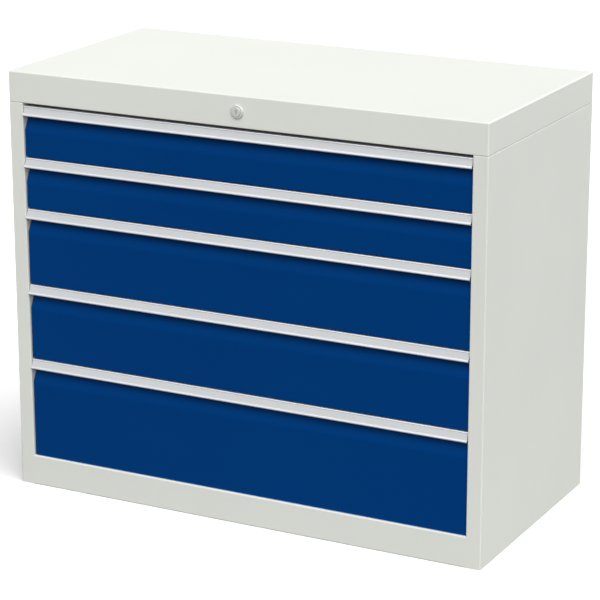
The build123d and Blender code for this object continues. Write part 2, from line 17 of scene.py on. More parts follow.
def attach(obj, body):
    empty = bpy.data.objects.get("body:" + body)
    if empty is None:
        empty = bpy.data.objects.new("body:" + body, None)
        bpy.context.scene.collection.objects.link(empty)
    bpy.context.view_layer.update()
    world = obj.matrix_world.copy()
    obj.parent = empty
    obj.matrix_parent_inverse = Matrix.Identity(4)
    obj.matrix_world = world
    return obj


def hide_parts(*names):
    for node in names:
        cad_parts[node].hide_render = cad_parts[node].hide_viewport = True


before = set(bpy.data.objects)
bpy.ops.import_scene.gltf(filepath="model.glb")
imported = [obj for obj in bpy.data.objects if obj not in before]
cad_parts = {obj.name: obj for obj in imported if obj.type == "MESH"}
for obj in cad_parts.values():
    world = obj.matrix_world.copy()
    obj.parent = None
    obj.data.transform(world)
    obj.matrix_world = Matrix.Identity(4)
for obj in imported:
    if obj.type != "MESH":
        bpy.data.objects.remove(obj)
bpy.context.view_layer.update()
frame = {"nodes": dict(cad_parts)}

MM = 0.001
NEAR = 2e-6
SLACK = 0.05 * MM
SQUARE_ON = 0.99
Test = Callable[[Vector], bool]
Colour = tuple[float, float, float]
log = logging.getLogger("drawer_unit")


class Pick(Enum):
    """What an edit-mode selection is made of."""

    POINTS = "VERT"
    EDGES = "EDGE"
    FACES = "FACE"


class Slot(Enum):
    """The record's material slots."""

    FRAME = "frame_paint"
    FRONT = "front_paint"
    TRAY = "tray_paint"
    HANDLE = "handle_aluminium"
    LABEL = "label_plastic"
    STEEL = "plated_steel"
    LOCK = "lock_metal"


def same(value: float, goal: float) -> bool:
    """Tell whether two lengths are the same place."""
    return abs(value - goal) < NEAR


def rest_alone(obj: bpy.types.Object) -> None:
    """Leave only this object selected and active, out of edit mode.

    Args:
        obj: the object.
    """
    if bpy.context.object and bpy.context.object.mode != "OBJECT":
        bpy.ops.object.mode_set(mode="OBJECT")
    bpy.ops.object.select_all(action="DESELECT")
    obj.select_set(True)
    bpy.context.view_layer.objects.active = obj


class Piece:
    """One mesh being shaped with Blender's operators, its object kept at the origin."""

    def __init__(self, obj: bpy.types.Object) -> None:
        """Take over an object."""
        self.obj = obj

    @classmethod
    def _added(cls, name: str) -> Piece:
        """Name the primitive just added and apply its place.

        Args:
            name: the piece's name.

        Returns:
            The piece, with its place in its mesh.
        """
        obj = bpy.context.object
        obj.name = obj.data.name = name
        rest_alone(obj)
        bpy.ops.object.transform_apply(location=True, rotation=True, scale=True)
        return cls(obj)

    @classmethod
    def block(cls, name: str, low: Sequence[float], high: Sequence[float]) -> Piece:
        """A cube primitive stretched between two corners.

        Args:
            name: the piece's name.
            low: the corner with the least x, y and z.
            high: the corner across from it.

        Returns:
            The block.
        """
        bpy.ops.object.select_all(action="DESELECT")
        low, high = Vector(low), Vector(high)
        bpy.ops.mesh.primitive_cube_add(size=1, location=(low + high) / 2, scale=high - low)
        return cls._added(name)

    @classmethod
    def sheet(cls, name: str, start: Vector, along: Vector, across: Vector) -> Piece:
        """A plane primitive laid along two edges that meet at a corner.

        Args:
            name: the piece's name.
            start: the corner.
            along: the first edge, as a way and a length.
            across: the other edge; the sheet faces the way of along cross across.

        Returns:
            The flat sheet.
        """
        bpy.ops.object.select_all(action="DESELECT")
        u, v = along.normalized(), across.normalized()
        turn = Matrix((u, v, u.cross(v))).transposed()
        bpy.ops.mesh.primitive_plane_add(
            size=1,
            location=start + along / 2 + across / 2,
            rotation=turn.to_euler(),
        )
        bpy.context.object.scale = (along.length, across.length, 1)
        return cls._added(name)

    @classmethod
    def rod(cls, name: str, radius: float, start: Vector, end: Vector, sides: int = 64) -> Piece:
        """A cylinder primitive between the middles of its two ends.

        Args:
            name: the piece's name.
            radius: the rod's radius.
            start: the middle of one end.
            end: the middle of the other.
            sides: how many flat sides stand for the round.

        Returns:
            The rod.
        """
        bpy.ops.object.select_all(action="DESELECT")
        way = end - start
        bpy.ops.mesh.primitive_cylinder_add(
            vertices=sides,
            radius=radius,
            depth=way.length,
            location=(start + end) / 2,
            rotation=way.to_track_quat("Z", "Y").to_euler(),
        )
        return cls._added(name)

    @classmethod
    def outline(cls, name: str, points: Sequence[Vector], span: Vector) -> Piece:
        """A section drawn point by point, filled, and drawn out.

        Args:
            name: the piece's name.
            points: the section's corners, in order.
            span: how far and which way the section is drawn out.

        Returns:
            The closed prism.
        """
        bpy.ops.object.select_all(action="DESELECT")
        bpy.ops.mesh.primitive_plane_add(size=MM, location=points[0])
        piece = cls._added(name)
        with piece.editing():
            bpy.ops.mesh.select_mode(type="VERT")
            bpy.ops.mesh.select_all(action="SELECT")
            bpy.ops.mesh.merge(type="CENTER")
            for before, after in zip(points, points[1:]):
                bpy.ops.mesh.extrude_vertices_move(TRANSFORM_OT_translate={"value": after - before})
            bpy.ops.mesh.select_all(action="SELECT")
            bpy.ops.mesh.edge_face_add()
            bpy.ops.mesh.extrude_region_move(TRANSFORM_OT_translate={"value": span})
            bpy.ops.mesh.select_all(action="SELECT")
            bpy.ops.mesh.normals_make_consistent(inside=False)
        return piece

    @classmethod
    def folded(
        cls,
        name: str,
        line: Sequence[Vector],
        span: Vector,
        gauge: float,
        inside: float,
    ) -> Piece:
        """A sheet folded along a line, as on a press brake.

        The sheet lies on the left of the line, seen from the far end of the span.

        Args:
            name: the piece's name.
            line: the corners that the sheet's first surface would have with no radius.
            span: the sheet's width, as a way and a length.
            gauge: the sheet's thickness.
            inside: the inside radius of each bend.

        Returns:
            The sheet with its bends and its thickness.
        """
        walls = [after - before for before, after in zip(line, line[1:])]
        piece = cls.sheet(name, line[0], walls[0], span)
        end = line[1]
        piece.pick(Pick.EDGES, lambda p: (p - end).cross(span).length < NEAR * span.length)
        with piece.editing():
            for wall in walls[1:]:
                bpy.ops.mesh.extrude_region_move(TRANSFORM_OT_translate={"value": wall})
        for number in range(1, len(line) - 1):
            before, after = walls[number - 1], walls[number]
            left_turn = before.cross(after).dot(span) > 0
            radius = inside + (gauge if left_turn else 0.0)
            corner = line[number]
            piece.pick(Pick.EDGES, lambda p: (p - corner).cross(span).length < NEAR * span.length)
            piece.bevel(radius * math.tan(before.angle(after) / 2), max(3, round(radius / MM * 1.2)))
        return piece.thicken(gauge)

    @contextmanager
    def editing(self) -> Iterator[None]:
        """Open the piece in edit mode, alone."""
        rest_alone(self.obj)
        bpy.ops.object.mode_set(mode="EDIT")
        yield
        bpy.ops.object.mode_set(mode="OBJECT")

    def pick(
        self,
        kind: Pick,
        test: Test,
        facing: Sequence[float] | None = None,
        along: Sequence[float] | None = None,
        sharp: float = 0.0,
        more: bool = False,
    ) -> Piece:
        """Select by place the points, edges or faces whose corners all pass a test.

        Args:
            kind: what to select.
            test: whether a corner's place belongs to the selection.
            facing: the way that a face has to face, if it matters.
            along: the way that an edge has to run, if it matters.
            sharp: the least turn in degrees across an edge, if it matters.
            more: whether to keep what is selected already.

        Returns:
            The piece itself.
        """
        with self.editing():
            bpy.ops.mesh.select_mode(type=kind.value)
            if not more:
                bpy.ops.mesh.select_all(action="DESELECT")
            mesh = bmesh.from_edit_mesh(self.obj.data)
            for vert in mesh.verts if kind is Pick.POINTS else ():
                vert.select_set(test(vert.co))
            for part in {Pick.EDGES: mesh.edges, Pick.FACES: mesh.faces}.get(kind, ()):
                if not all(test(vert.co) for vert in part.verts):
                    continue
                if facing and part.normal.dot(Vector(facing)) < SQUARE_ON:
                    continue
                if along and (part.verts[0].co - part.verts[1].co).cross(Vector(along)).length > NEAR:
                    continue
                if sharp and part.calc_face_angle(0.0) < math.radians(sharp):
                    continue
                part.select_set(True)
            mesh.select_flush_mode()
            bmesh.update_edit_mesh(self.obj.data)
        return self

    def extrude(self, *moves: Sequence[float]) -> Piece:
        """Extrude what is selected by each move in turn.

        Args:
            moves: how far and which way, one by one.

        Returns:
            The piece itself.
        """
        with self.editing():
            for move in moves:
                bpy.ops.mesh.extrude_region_move(TRANSFORM_OT_translate={"value": tuple(move)})
        return self

    def move(self, way: Sequence[float]) -> Piece:
        """Move what is selected."""
        with self.editing():
            bpy.ops.transform.translate(value=tuple(way))
        return self

    def resize(self, factors: Sequence[float], about: Sequence[float]) -> Piece:
        """Scale what is selected about a point.

        Args:
            factors: how much longer it gets along x, y and z.
            about: the point that stays.

        Returns:
            The piece itself.
        """
        with self.editing():
            bpy.ops.transform.resize(value=tuple(factors), center_override=tuple(about))
        return self

    def bevel(self, width: float, segments: int) -> Piece:
        """Round the selected edges.

        Args:
            width: how far the rounding reaches from the edge.
            segments: how many faces it has.

        Returns:
            The piece itself.
        """
        with self.editing():
            bpy.ops.mesh.bevel(
                offset=width, offset_type="OFFSET", segments=segments, profile=0.5, affect="EDGES"
            )
        return self

    def inset(self, width: float) -> Piece:
        """Inset the selected faces as one region."""
        with self.editing():
            bpy.ops.mesh.inset(thickness=width, depth=0, use_boundary=True)
        return self

    def bisect(self, point: Sequence[float], normal: Sequence[float]) -> Piece:
        """Cut a line of edges through the whole piece.

        Args:
            point: a point of the cutting plane.
            normal: the way that the plane faces.

        Returns:
            The piece itself.
        """
        with self.editing():
            bpy.ops.mesh.select_all(action="SELECT")
            bpy.ops.mesh.bisect(plane_co=tuple(point), plane_no=tuple(normal))
        return self

    def delete(self) -> Piece:
        """Delete the selected faces."""
        with self.editing():
            bpy.ops.mesh.delete(type="FACE")
        return self

    def simplify(self) -> Piece:
        """Merge doubles and drop needless edges on flat faces.

        Returns:
            The piece itself.
        """
        with self.editing():
            bpy.ops.mesh.select_all(action="SELECT")
            bpy.ops.mesh.remove_doubles(threshold=NEAR)
            bpy.ops.mesh.dissolve_limited(angle_limit=math.radians(0.5))
        return self

    def tidy(self) -> Piece:
        """Simplify a closed mesh and face every face outwards.

        Returns:
            The piece itself.
        """
        self.simplify()
        with self.editing():
            bpy.ops.mesh.select_all(action="SELECT")
            bpy.ops.mesh.normals_make_consistent(inside=False)
        return self

    def modifier(self, kind: str, **settings: object) -> Piece:
        """Add a modifier with its settings and apply it.

        Args:
            kind: the modifier's type.
            settings: its settings by name.

        Returns:
            The piece itself.
        """
        rest_alone(self.obj)
        bpy.ops.object.modifier_add(type=kind)
        modifier = self.obj.modifiers[-1]
        for key, value in settings.items():
            setattr(modifier, key, value)
        bpy.ops.object.modifier_apply(modifier=modifier.name)
        return self

    def thicken(self, gauge: float) -> Piece:
        """Give an open sheet its thickness, behind its faces."""
        return self.modifier("SOLIDIFY", thickness=gauge, offset=-1.0, use_even_offset=True)

    def ease_edges(self, width: float, angle: float = 50.0) -> Piece:
        """Round every edge sharper than an angle.

        Args:
            width: how far the rounding reaches from the edge.
            angle: the least turn in degrees across an edge.

        Returns:
            The piece itself.
        """
        return self.modifier(
            "BEVEL",
            width=width,
            segments=2,
            limit_method="ANGLE",
            angle_limit=math.radians(angle),
            use_clamp_overlap=True,
        )

    def cut(self, *cutters: Piece) -> Piece:
        """Cut other pieces out of this one and drop them.

        Args:
            cutters: the pieces to cut out.

        Returns:
            The piece itself.
        """
        for cutter in cutters:
            self.modifier("BOOLEAN", object=cutter.obj, operation="DIFFERENCE", solver="EXACT")
            bpy.data.objects.remove(cutter.obj)
        return self

    def join(self, *others: Piece) -> Piece:
        """Make other pieces part of this one.

        Args:
            others: the pieces to take in.

        Returns:
            The piece itself.
        """
        rest_alone(self.obj)
        for other in others:
            other.obj.select_set(True)
        bpy.ops.object.join()
        return self

    def copy(self, name: str, way: Sequence[float] = (0, 0, 0)) -> Piece:
        """Copy the piece with its own mesh, moved.

        Args:
            name: the copy's name.
            way: how far and which way it is moved.

        Returns:
            The copy.
        """
        obj = bpy.data.objects.new(name, self.obj.data.copy())
        obj.data.name = name
        obj.data.transform(Matrix.Translation(way))
        bpy.context.scene.collection.objects.link(obj)
        return Piece(obj)

    def mirrored(self, name: str) -> Piece:
        """Copy the piece to the other side of the cabinet's middle.

        Args:
            name: the copy's name.

        Returns:
            The mirrored copy, facing outwards.
        """
        twin = self.copy(name)
        twin.obj.data.transform(Matrix.Scale(-1, 4, (1, 0, 0)))
        with twin.editing():
            bpy.ops.mesh.select_all(action="SELECT")
            bpy.ops.mesh.normals_make_consistent(inside=False)
        return twin

    def smooth(self, angle: float = 35.0) -> Piece:
        """Shade round forms smooth and keep flat faces flat.

        Args:
            angle: the turn in degrees past which an edge stays sharp.

        Returns:
            The piece itself.
        """
        rest_alone(self.obj)
        bpy.ops.object.shade_smooth_by_angle(angle=math.radians(angle), keep_sharp_edges=False)
        return self.modifier("WEIGHTED_NORMAL", weight=80, keep_sharp=True)


class Nodes:
    """A small writer of shader node trees."""

    def __init__(self, tree: bpy.types.NodeTree) -> None:
        """Take over a tree and empty it."""
        self.tree = tree
        tree.nodes.clear()

    def add(self, kind: str, **settings: object) -> bpy.types.Node:
        """Add a node with its settings.

        Args:
            kind: the node's type, as it reads after ShaderNode.
            settings: the node's own settings by name.

        Returns:
            The node.
        """
        node = self.tree.nodes.new("ShaderNode" + kind)
        for key, value in settings.items():
            setattr(node, key, value)
        return node

    def feed(self, node: bpy.types.Node, **inputs: object) -> bpy.types.Node:
        """Set or link the inputs of a node.

        Args:
            node: the node.
            inputs: values to set or sockets to link, each by the input's name with
                underscores for spaces, or by its place as i0, i1 and so on.

        Returns:
            The node.
        """
        for key, value in inputs.items():
            place = int(key[1:]) if key[0] == "i" and key[1:].isdigit() else key.replace("_", " ")
            if isinstance(value, bpy.types.NodeSocket):
                self.tree.links.new(value, node.inputs[place])
            else:
                node.inputs[place].default_value = value
        return node

    def noise(self, where: object, scale: object, detail: float = 2.0, rough: float = 0.5) -> object:
        """A noise texture's height.

        Args:
            where: the place that is looked up.
            scale: cells per metre, as a value or a socket.
            detail: how many finer layers it has.
            rough: how strong the finer layers are.

        Returns:
            The socket of the height, from 0 to 1.
        """
        node = self.feed(self.add("TexNoise"), Vector=where, Scale=scale, Detail=detail, Roughness=rough)
        return node.outputs["Fac"]

    def span(self, value: object, low: float, high: float, start: float = 0.0, end: float = 1.0) -> object:
        """Map a value from one range to another, held inside it.

        Args:
            value: the value.
            low: what it gives at the range's start.
            high: what it gives at its end.
            start: the start of the value's own range.
            end: the end of it.

        Returns:
            The socket of the result.
        """
        node = self.add("MapRange", clamp=True)
        self.feed(node, i0=value, i1=start, i2=end, i3=low, i4=high)
        return node.outputs[0]

    def math(self, operation: str, a: object, b: object) -> object:
        """One sum on two values."""
        return self.feed(self.add("Math", operation=operation), i0=a, i1=b).outputs[0]

    def shade(self, colour: object, factor: object) -> object:
        """A colour made lighter or darker by a factor.

        Args:
            colour: the colour.
            factor: the factor, the same on red, green and blue.

        Returns:
            The socket of the new colour.
        """
        node = self.add("Mix", data_type="RGBA", blend_type="MULTIPLY")
        tone = self.feed(self.add("CombineColor"), Red=factor, Green=factor, Blue=factor)
        self.feed(node, i0=1.0, i6=colour, i7=tone.outputs[0])
        return node.outputs[2]


def group(
    name: str, inputs: dict[str, float]
) -> tuple[bpy.types.NodeTree, Nodes, bpy.types.Node, bpy.types.Node]:
    """Begin a shader node group that puts out a surface: Height, Gloss and Tone.

    Args:
        name: the group's name.
        inputs: its inputs with their usual values.

    Returns:
        The tree, its writer, the node of its inputs and the node of its outputs.
    """
    tree = bpy.data.node_groups.new(name, "ShaderNodeTree")
    for key, value in inputs.items():
        socket = tree.interface.new_socket(key, in_out="INPUT", socket_type="NodeSocketFloat")
        socket.default_value = value
    for key in ("Height", "Gloss", "Tone"):
        tree.interface.new_socket(key, in_out="OUTPUT", socket_type="NodeSocketFloat")
    return tree, Nodes(tree), tree.nodes.new("NodeGroupInput"), tree.nodes.new("NodeGroupOutput")


def coat_surface() -> bpy.types.NodeTree:
    """Powder coat: soft orange peel, a finer bite on top and a faint cloudiness of tone.

    Returns:
        The node group.
    """
    tree, nodes, start, end = group("coat_surface", {"Peel": 450.0, "Cloud": 2.2})
    where = nodes.add("TexCoord").outputs["Object"]
    peel = nodes.noise(where, start.outputs["Peel"], detail=2.0)
    bite = nodes.noise(where, 2600.0, detail=1.0)
    height = nodes.feed(nodes.add("Math", operation="MULTIPLY_ADD"), i0=bite, i1=0.25, i2=peel)
    cloud = nodes.noise(where, start.outputs["Cloud"], detail=3.0, rough=0.55)
    gloss = nodes.span(peel, 0.0, 1.0, start=0.3, end=0.7)
    tone = nodes.span(cloud, 0.0, 1.0, start=0.3, end=0.7)
    nodes.feed(end, Height=height.outputs[0], Gloss=gloss, Tone=tone)
    return tree


def drawn_grain() -> bpy.types.NodeTree:
    """Grain drawn out along one axis, as on extruded, rolled or turned metal.

    Returns:
        The node group.
    """
    tree, nodes, start, end = group("drawn_grain", {"Along": 3.0, "Across": 900.0, "Turned": 0.0})
    where = nodes.add("TexCoord").outputs["Object"]
    along, across = start.outputs["Along"], start.outputs["Across"]
    straight = nodes.feed(nodes.add("CombineXYZ"), X=along, Y=across, Z=across)
    turned = nodes.feed(nodes.add("CombineXYZ"), X=across, Y=along, Z=across)
    pick = nodes.add("Mix", data_type="VECTOR")
    nodes.feed(pick, i0=start.outputs["Turned"], i4=straight.outputs[0], i5=turned.outputs[0])
    spread = nodes.feed(nodes.add("VectorMath", operation="MULTIPLY"), i0=where, i1=pick.outputs[1])
    fine = nodes.noise(spread.outputs[0], 1.0, detail=3.0, rough=0.6)
    broad = nodes.noise(where, 22.0, detail=2.0)
    gloss = nodes.span(fine, 0.0, 1.0, start=0.25, end=0.75)
    tone = nodes.span(broad, 0.0, 1.0, start=0.3, end=0.7)
    nodes.feed(end, Height=fine, Gloss=gloss, Tone=tone)
    return tree


@dataclass(frozen=True)
class Finish:
    """What every finish has: a name, a colour, how rough it is and its relief in metres."""

    name: str
    colour: Colour
    rough: float
    relief: float
    gloss_spread: ClassVar[tuple[float, float]] = (0.0, 0.0)

    def begin(self) -> tuple[bpy.types.Material, Nodes, bpy.types.Node]:
        """Begin the material with its shader linked to its output.

        Returns:
            The material, its writer and its shader.
        """
        material = bpy.data.materials.new(self.name)
        material.use_nodes = True
        material.diffuse_color = (*self.colour, 1.0)
        nodes = Nodes(material.node_tree)
        shader = nodes.add("BsdfPrincipled")
        nodes.feed(nodes.add("OutputMaterial"), Surface=shader.outputs[0])
        return material, nodes, shader

    def surface(self, nodes: Nodes, tree: bpy.types.NodeTree, **sizes: float) -> bpy.types.Node:
        """Place a surface group with this finish's own sizes."""
        node = nodes.add("Group", node_tree=tree)
        return nodes.feed(node, **sizes)

    def uneven(self, nodes: Nodes, mask: object) -> object:
        """A roughness that a mask moves about the finish's own, as far as its spread."""
        low, high = self.gloss_spread
        return nodes.span(mask, self.rough + low, self.rough + high)

    def relieve(self, nodes: Nodes, shader: bpy.types.Node, height: object) -> None:
        """Give the shader a bump of this finish's relief, in metres."""
        bump = nodes.feed(nodes.add("Bump"), Height=height, Distance=self.relief, Strength=1.0)
        nodes.feed(shader, Normal=bump.outputs[0])

    def material(self, tree: bpy.types.NodeTree) -> bpy.types.Material:
        """Build the material on a surface group, which each kind of finish does in its own way."""
        raise NotImplementedError(self.name)


@dataclass(frozen=True)
class PowderCoat(Finish):
    """Powder-coated steel."""

    sheen_level: float = 0.5
    tint: Colour = (1.0, 1.0, 1.0)
    cloudiness: float = 0.02
    gloss_spread: ClassVar[tuple[float, float]] = (-0.04, 0.06)

    def material(self, tree: bpy.types.NodeTree) -> bpy.types.Material:
        """Build the coat's material.

        Args:
            tree: the coat's surface group.

        Returns:
            The material.
        """
        material, nodes, shader = self.begin()
        coat = self.surface(nodes, tree)
        tone = nodes.span(coat.outputs["Tone"], 1.0 - self.cloudiness, 1.0 + self.cloudiness)
        gloss = self.uneven(nodes, coat.outputs["Gloss"])
        colour = nodes.shade((*self.colour, 1.0), tone)
        nodes.feed(shader, Base_Color=colour, Roughness=gloss, Metallic=0.0)
        nodes.feed(shader, Specular_IOR_Level=self.sheen_level, Specular_Tint=(*self.tint, 1.0))
        self.relieve(nodes, shader, coat.outputs["Height"])
        return material


@dataclass(frozen=True)
class DrawnMetal(Finish):
    """Bare or anodised metal with a drawn grain."""

    along: float = 3.0
    across: float = 900.0
    turned: float = 0.0
    patchiness: float = 0.03
    metallic: float = 1.0
    gloss_spread: ClassVar[tuple[float, float]] = (-0.07, 0.07)

    def material(self, tree: bpy.types.NodeTree) -> bpy.types.Material:
        """Build the metal's material.

        Args:
            tree: the grain's surface group.

        Returns:
            The material.
        """
        material, nodes, shader = self.begin()
        grain = self.surface(nodes, tree, Along=self.along, Across=self.across, Turned=self.turned)
        tone = nodes.span(grain.outputs["Tone"], 1.0 - self.patchiness, 1.0 + self.patchiness)
        gloss = self.uneven(nodes, grain.outputs["Gloss"])
        colour = nodes.shade((*self.colour, 1.0), tone)
        nodes.feed(shader, Base_Color=colour, Roughness=gloss, Metallic=self.metallic)
        self.relieve(nodes, shader, grain.outputs["Height"])
        return material


@dataclass(frozen=True)
class ZincPlate(Finish):
    """Zinc-plated steel: a soft spangle under a bluish sheen."""

    spangle: float = 140.0
    spangle_tones: tuple[float, float] = (0.93, 1.05)
    gloss_spread: ClassVar[tuple[float, float]] = (-0.05, 0.08)

    def material(self, tree: bpy.types.NodeTree) -> bpy.types.Material:
        """Build the material with its spangle of cells.

        Args:
            tree: the grain's surface group.

        Returns:
            The material.
        """
        material, nodes, shader = self.begin()
        grain = self.surface(nodes, tree, Along=60.0, Across=700.0, Turned=1.0)
        where = nodes.add("TexCoord").outputs["Object"]
        cells = nodes.feed(nodes.add("TexVoronoi"), Vector=where, Scale=self.spangle)
        spot = nodes.feed(nodes.add("SeparateColor"), i0=cells.outputs["Color"])
        tone = nodes.span(spot.outputs[0], *self.spangle_tones)
        colour = nodes.shade((*self.colour, 1.0), tone)
        gloss = self.uneven(nodes, spot.outputs[1])
        nodes.feed(shader, Base_Color=colour, Roughness=gloss, Metallic=1.0)
        self.relieve(nodes, shader, grain.outputs["Height"])
        return material


@dataclass(frozen=True)
class CardPlastic(Finish):
    """Matte strip of label card behind clear film."""

    fibre: float = 1500.0
    mottling: float = 30.0
    mottling_tones: tuple[float, float] = (0.985, 1.015)
    sheen_level: float = 0.3
    gloss_spread: ClassVar[tuple[float, float]] = (-0.05, 0.05)

    def material(self, tree: bpy.types.NodeTree) -> bpy.types.Material:
        """Build the material with a fine fibre and a faint mottling.

        Args:
            tree: the coat's surface group.

        Returns:
            The material.
        """
        material, nodes, shader = self.begin()
        coat = self.surface(nodes, tree, Peel=self.fibre, Cloud=self.mottling)
        tone = nodes.span(coat.outputs["Tone"], *self.mottling_tones)
        gloss = self.uneven(nodes, coat.outputs["Gloss"])
        nodes.feed(shader, Base_Color=nodes.shade((*self.colour, 1.0), tone), Roughness=gloss)
        nodes.feed(shader, Specular_IOR_Level=self.sheen_level)
        self.relieve(nodes, shader, coat.outputs["Height"])
        return material


@dataclass
class Finishes:
    """The unit's materials, made once and given out by slot."""

    frame: Finish = PowderCoat(
        "Light grey powder coat", (0.630, 0.640, 0.600), rough=0.42, relief=0.02 * MM, sheen_level=0.35
    )
    front: Finish = PowderCoat(
        "Deep blue powder coat",
        (0.0, 0.0330, 0.150),
        rough=0.45,
        relief=0.02 * MM,
        sheen_level=0.12,
        tint=(0.1, 0.4, 1.0),
        cloudiness=0.03,
    )
    tray: Finish = PowderCoat(
        "Tray powder coat", (0.600, 0.610, 0.590), rough=0.46, relief=0.02 * MM, sheen_level=0.35
    )
    handle: Finish = DrawnMetal(
        "Anodised aluminium", (0.52, 0.54, 0.58), rough=0.52, relief=0.004 * MM, metallic=0.6
    )
    label: Finish = CardPlastic("Label card", (0.455, 0.46, 0.465), rough=0.55, relief=0.006 * MM)
    steel: Finish = ZincPlate("Zinc-plated steel", (0.60, 0.62, 0.65), rough=0.34, relief=0.004 * MM)
    lock: Finish = DrawnMetal(
        "Satin nickel",
        (0.56, 0.565, 0.54),
        rough=0.48,
        relief=0.003 * MM,
        along=500.0,
        across=1400.0,
        metallic=0.3,
    )

    def __post_init__(self) -> None:
        """Build the surface groups and every material."""
        coat, grain = coat_surface(), drawn_grain()
        self.by_slot = {
            Slot.FRAME: self.frame.material(coat),
            Slot.FRONT: self.front.material(coat),
            Slot.TRAY: self.tray.material(coat),
            Slot.LABEL: self.label.material(coat),
            Slot.HANDLE: self.handle.material(grain),
            Slot.STEEL: self.steel.material(grain),
            Slot.LOCK: self.lock.material(grain),
        }

    def dress(self, piece: Piece, slot: Slot, body: str, *nodes: str) -> Piece:
        """Finish a piece and hang it on its body.

        Args:
            piece: the shaped piece.
            slot: the record's slot that it is finished in.
            body: the CAD body that it rides on.
            nodes: the CAD nodes that it stands for.

        Returns:
            The piece itself.
        """
        piece.smooth()
        piece.obj.data.materials.clear()
        piece.obj.data.materials.append(self.by_slot[slot])
        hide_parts(*nodes)
        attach(piece.obj, body)
        faces = len(piece.obj.data.polygons)
        log.info("%s: %d faces, %s, on %s for %s", piece.obj.name, faces, slot.value, body, ", ".join(nodes))
        return piece

    def refine(self, node: str, slot: Slot, body: str, ease: float = 0.15 * MM) -> Piece:
        """Stand a merged and eased copy of a CAD node in its place.

        Args:
            node: the CAD node.
            slot: the record's slot that it is finished in.
            body: the CAD body that it rides on.
            ease: the width of the rounding on its edges.

        Returns:
            The piece.
        """
        obj = bpy.data.objects.new(node + "_eased", frame["nodes"][node].data.copy())
        bpy.context.scene.collection.objects.link(obj)
        return self.dress(Piece(obj).tidy().ease_edges(ease), slot, body, node)


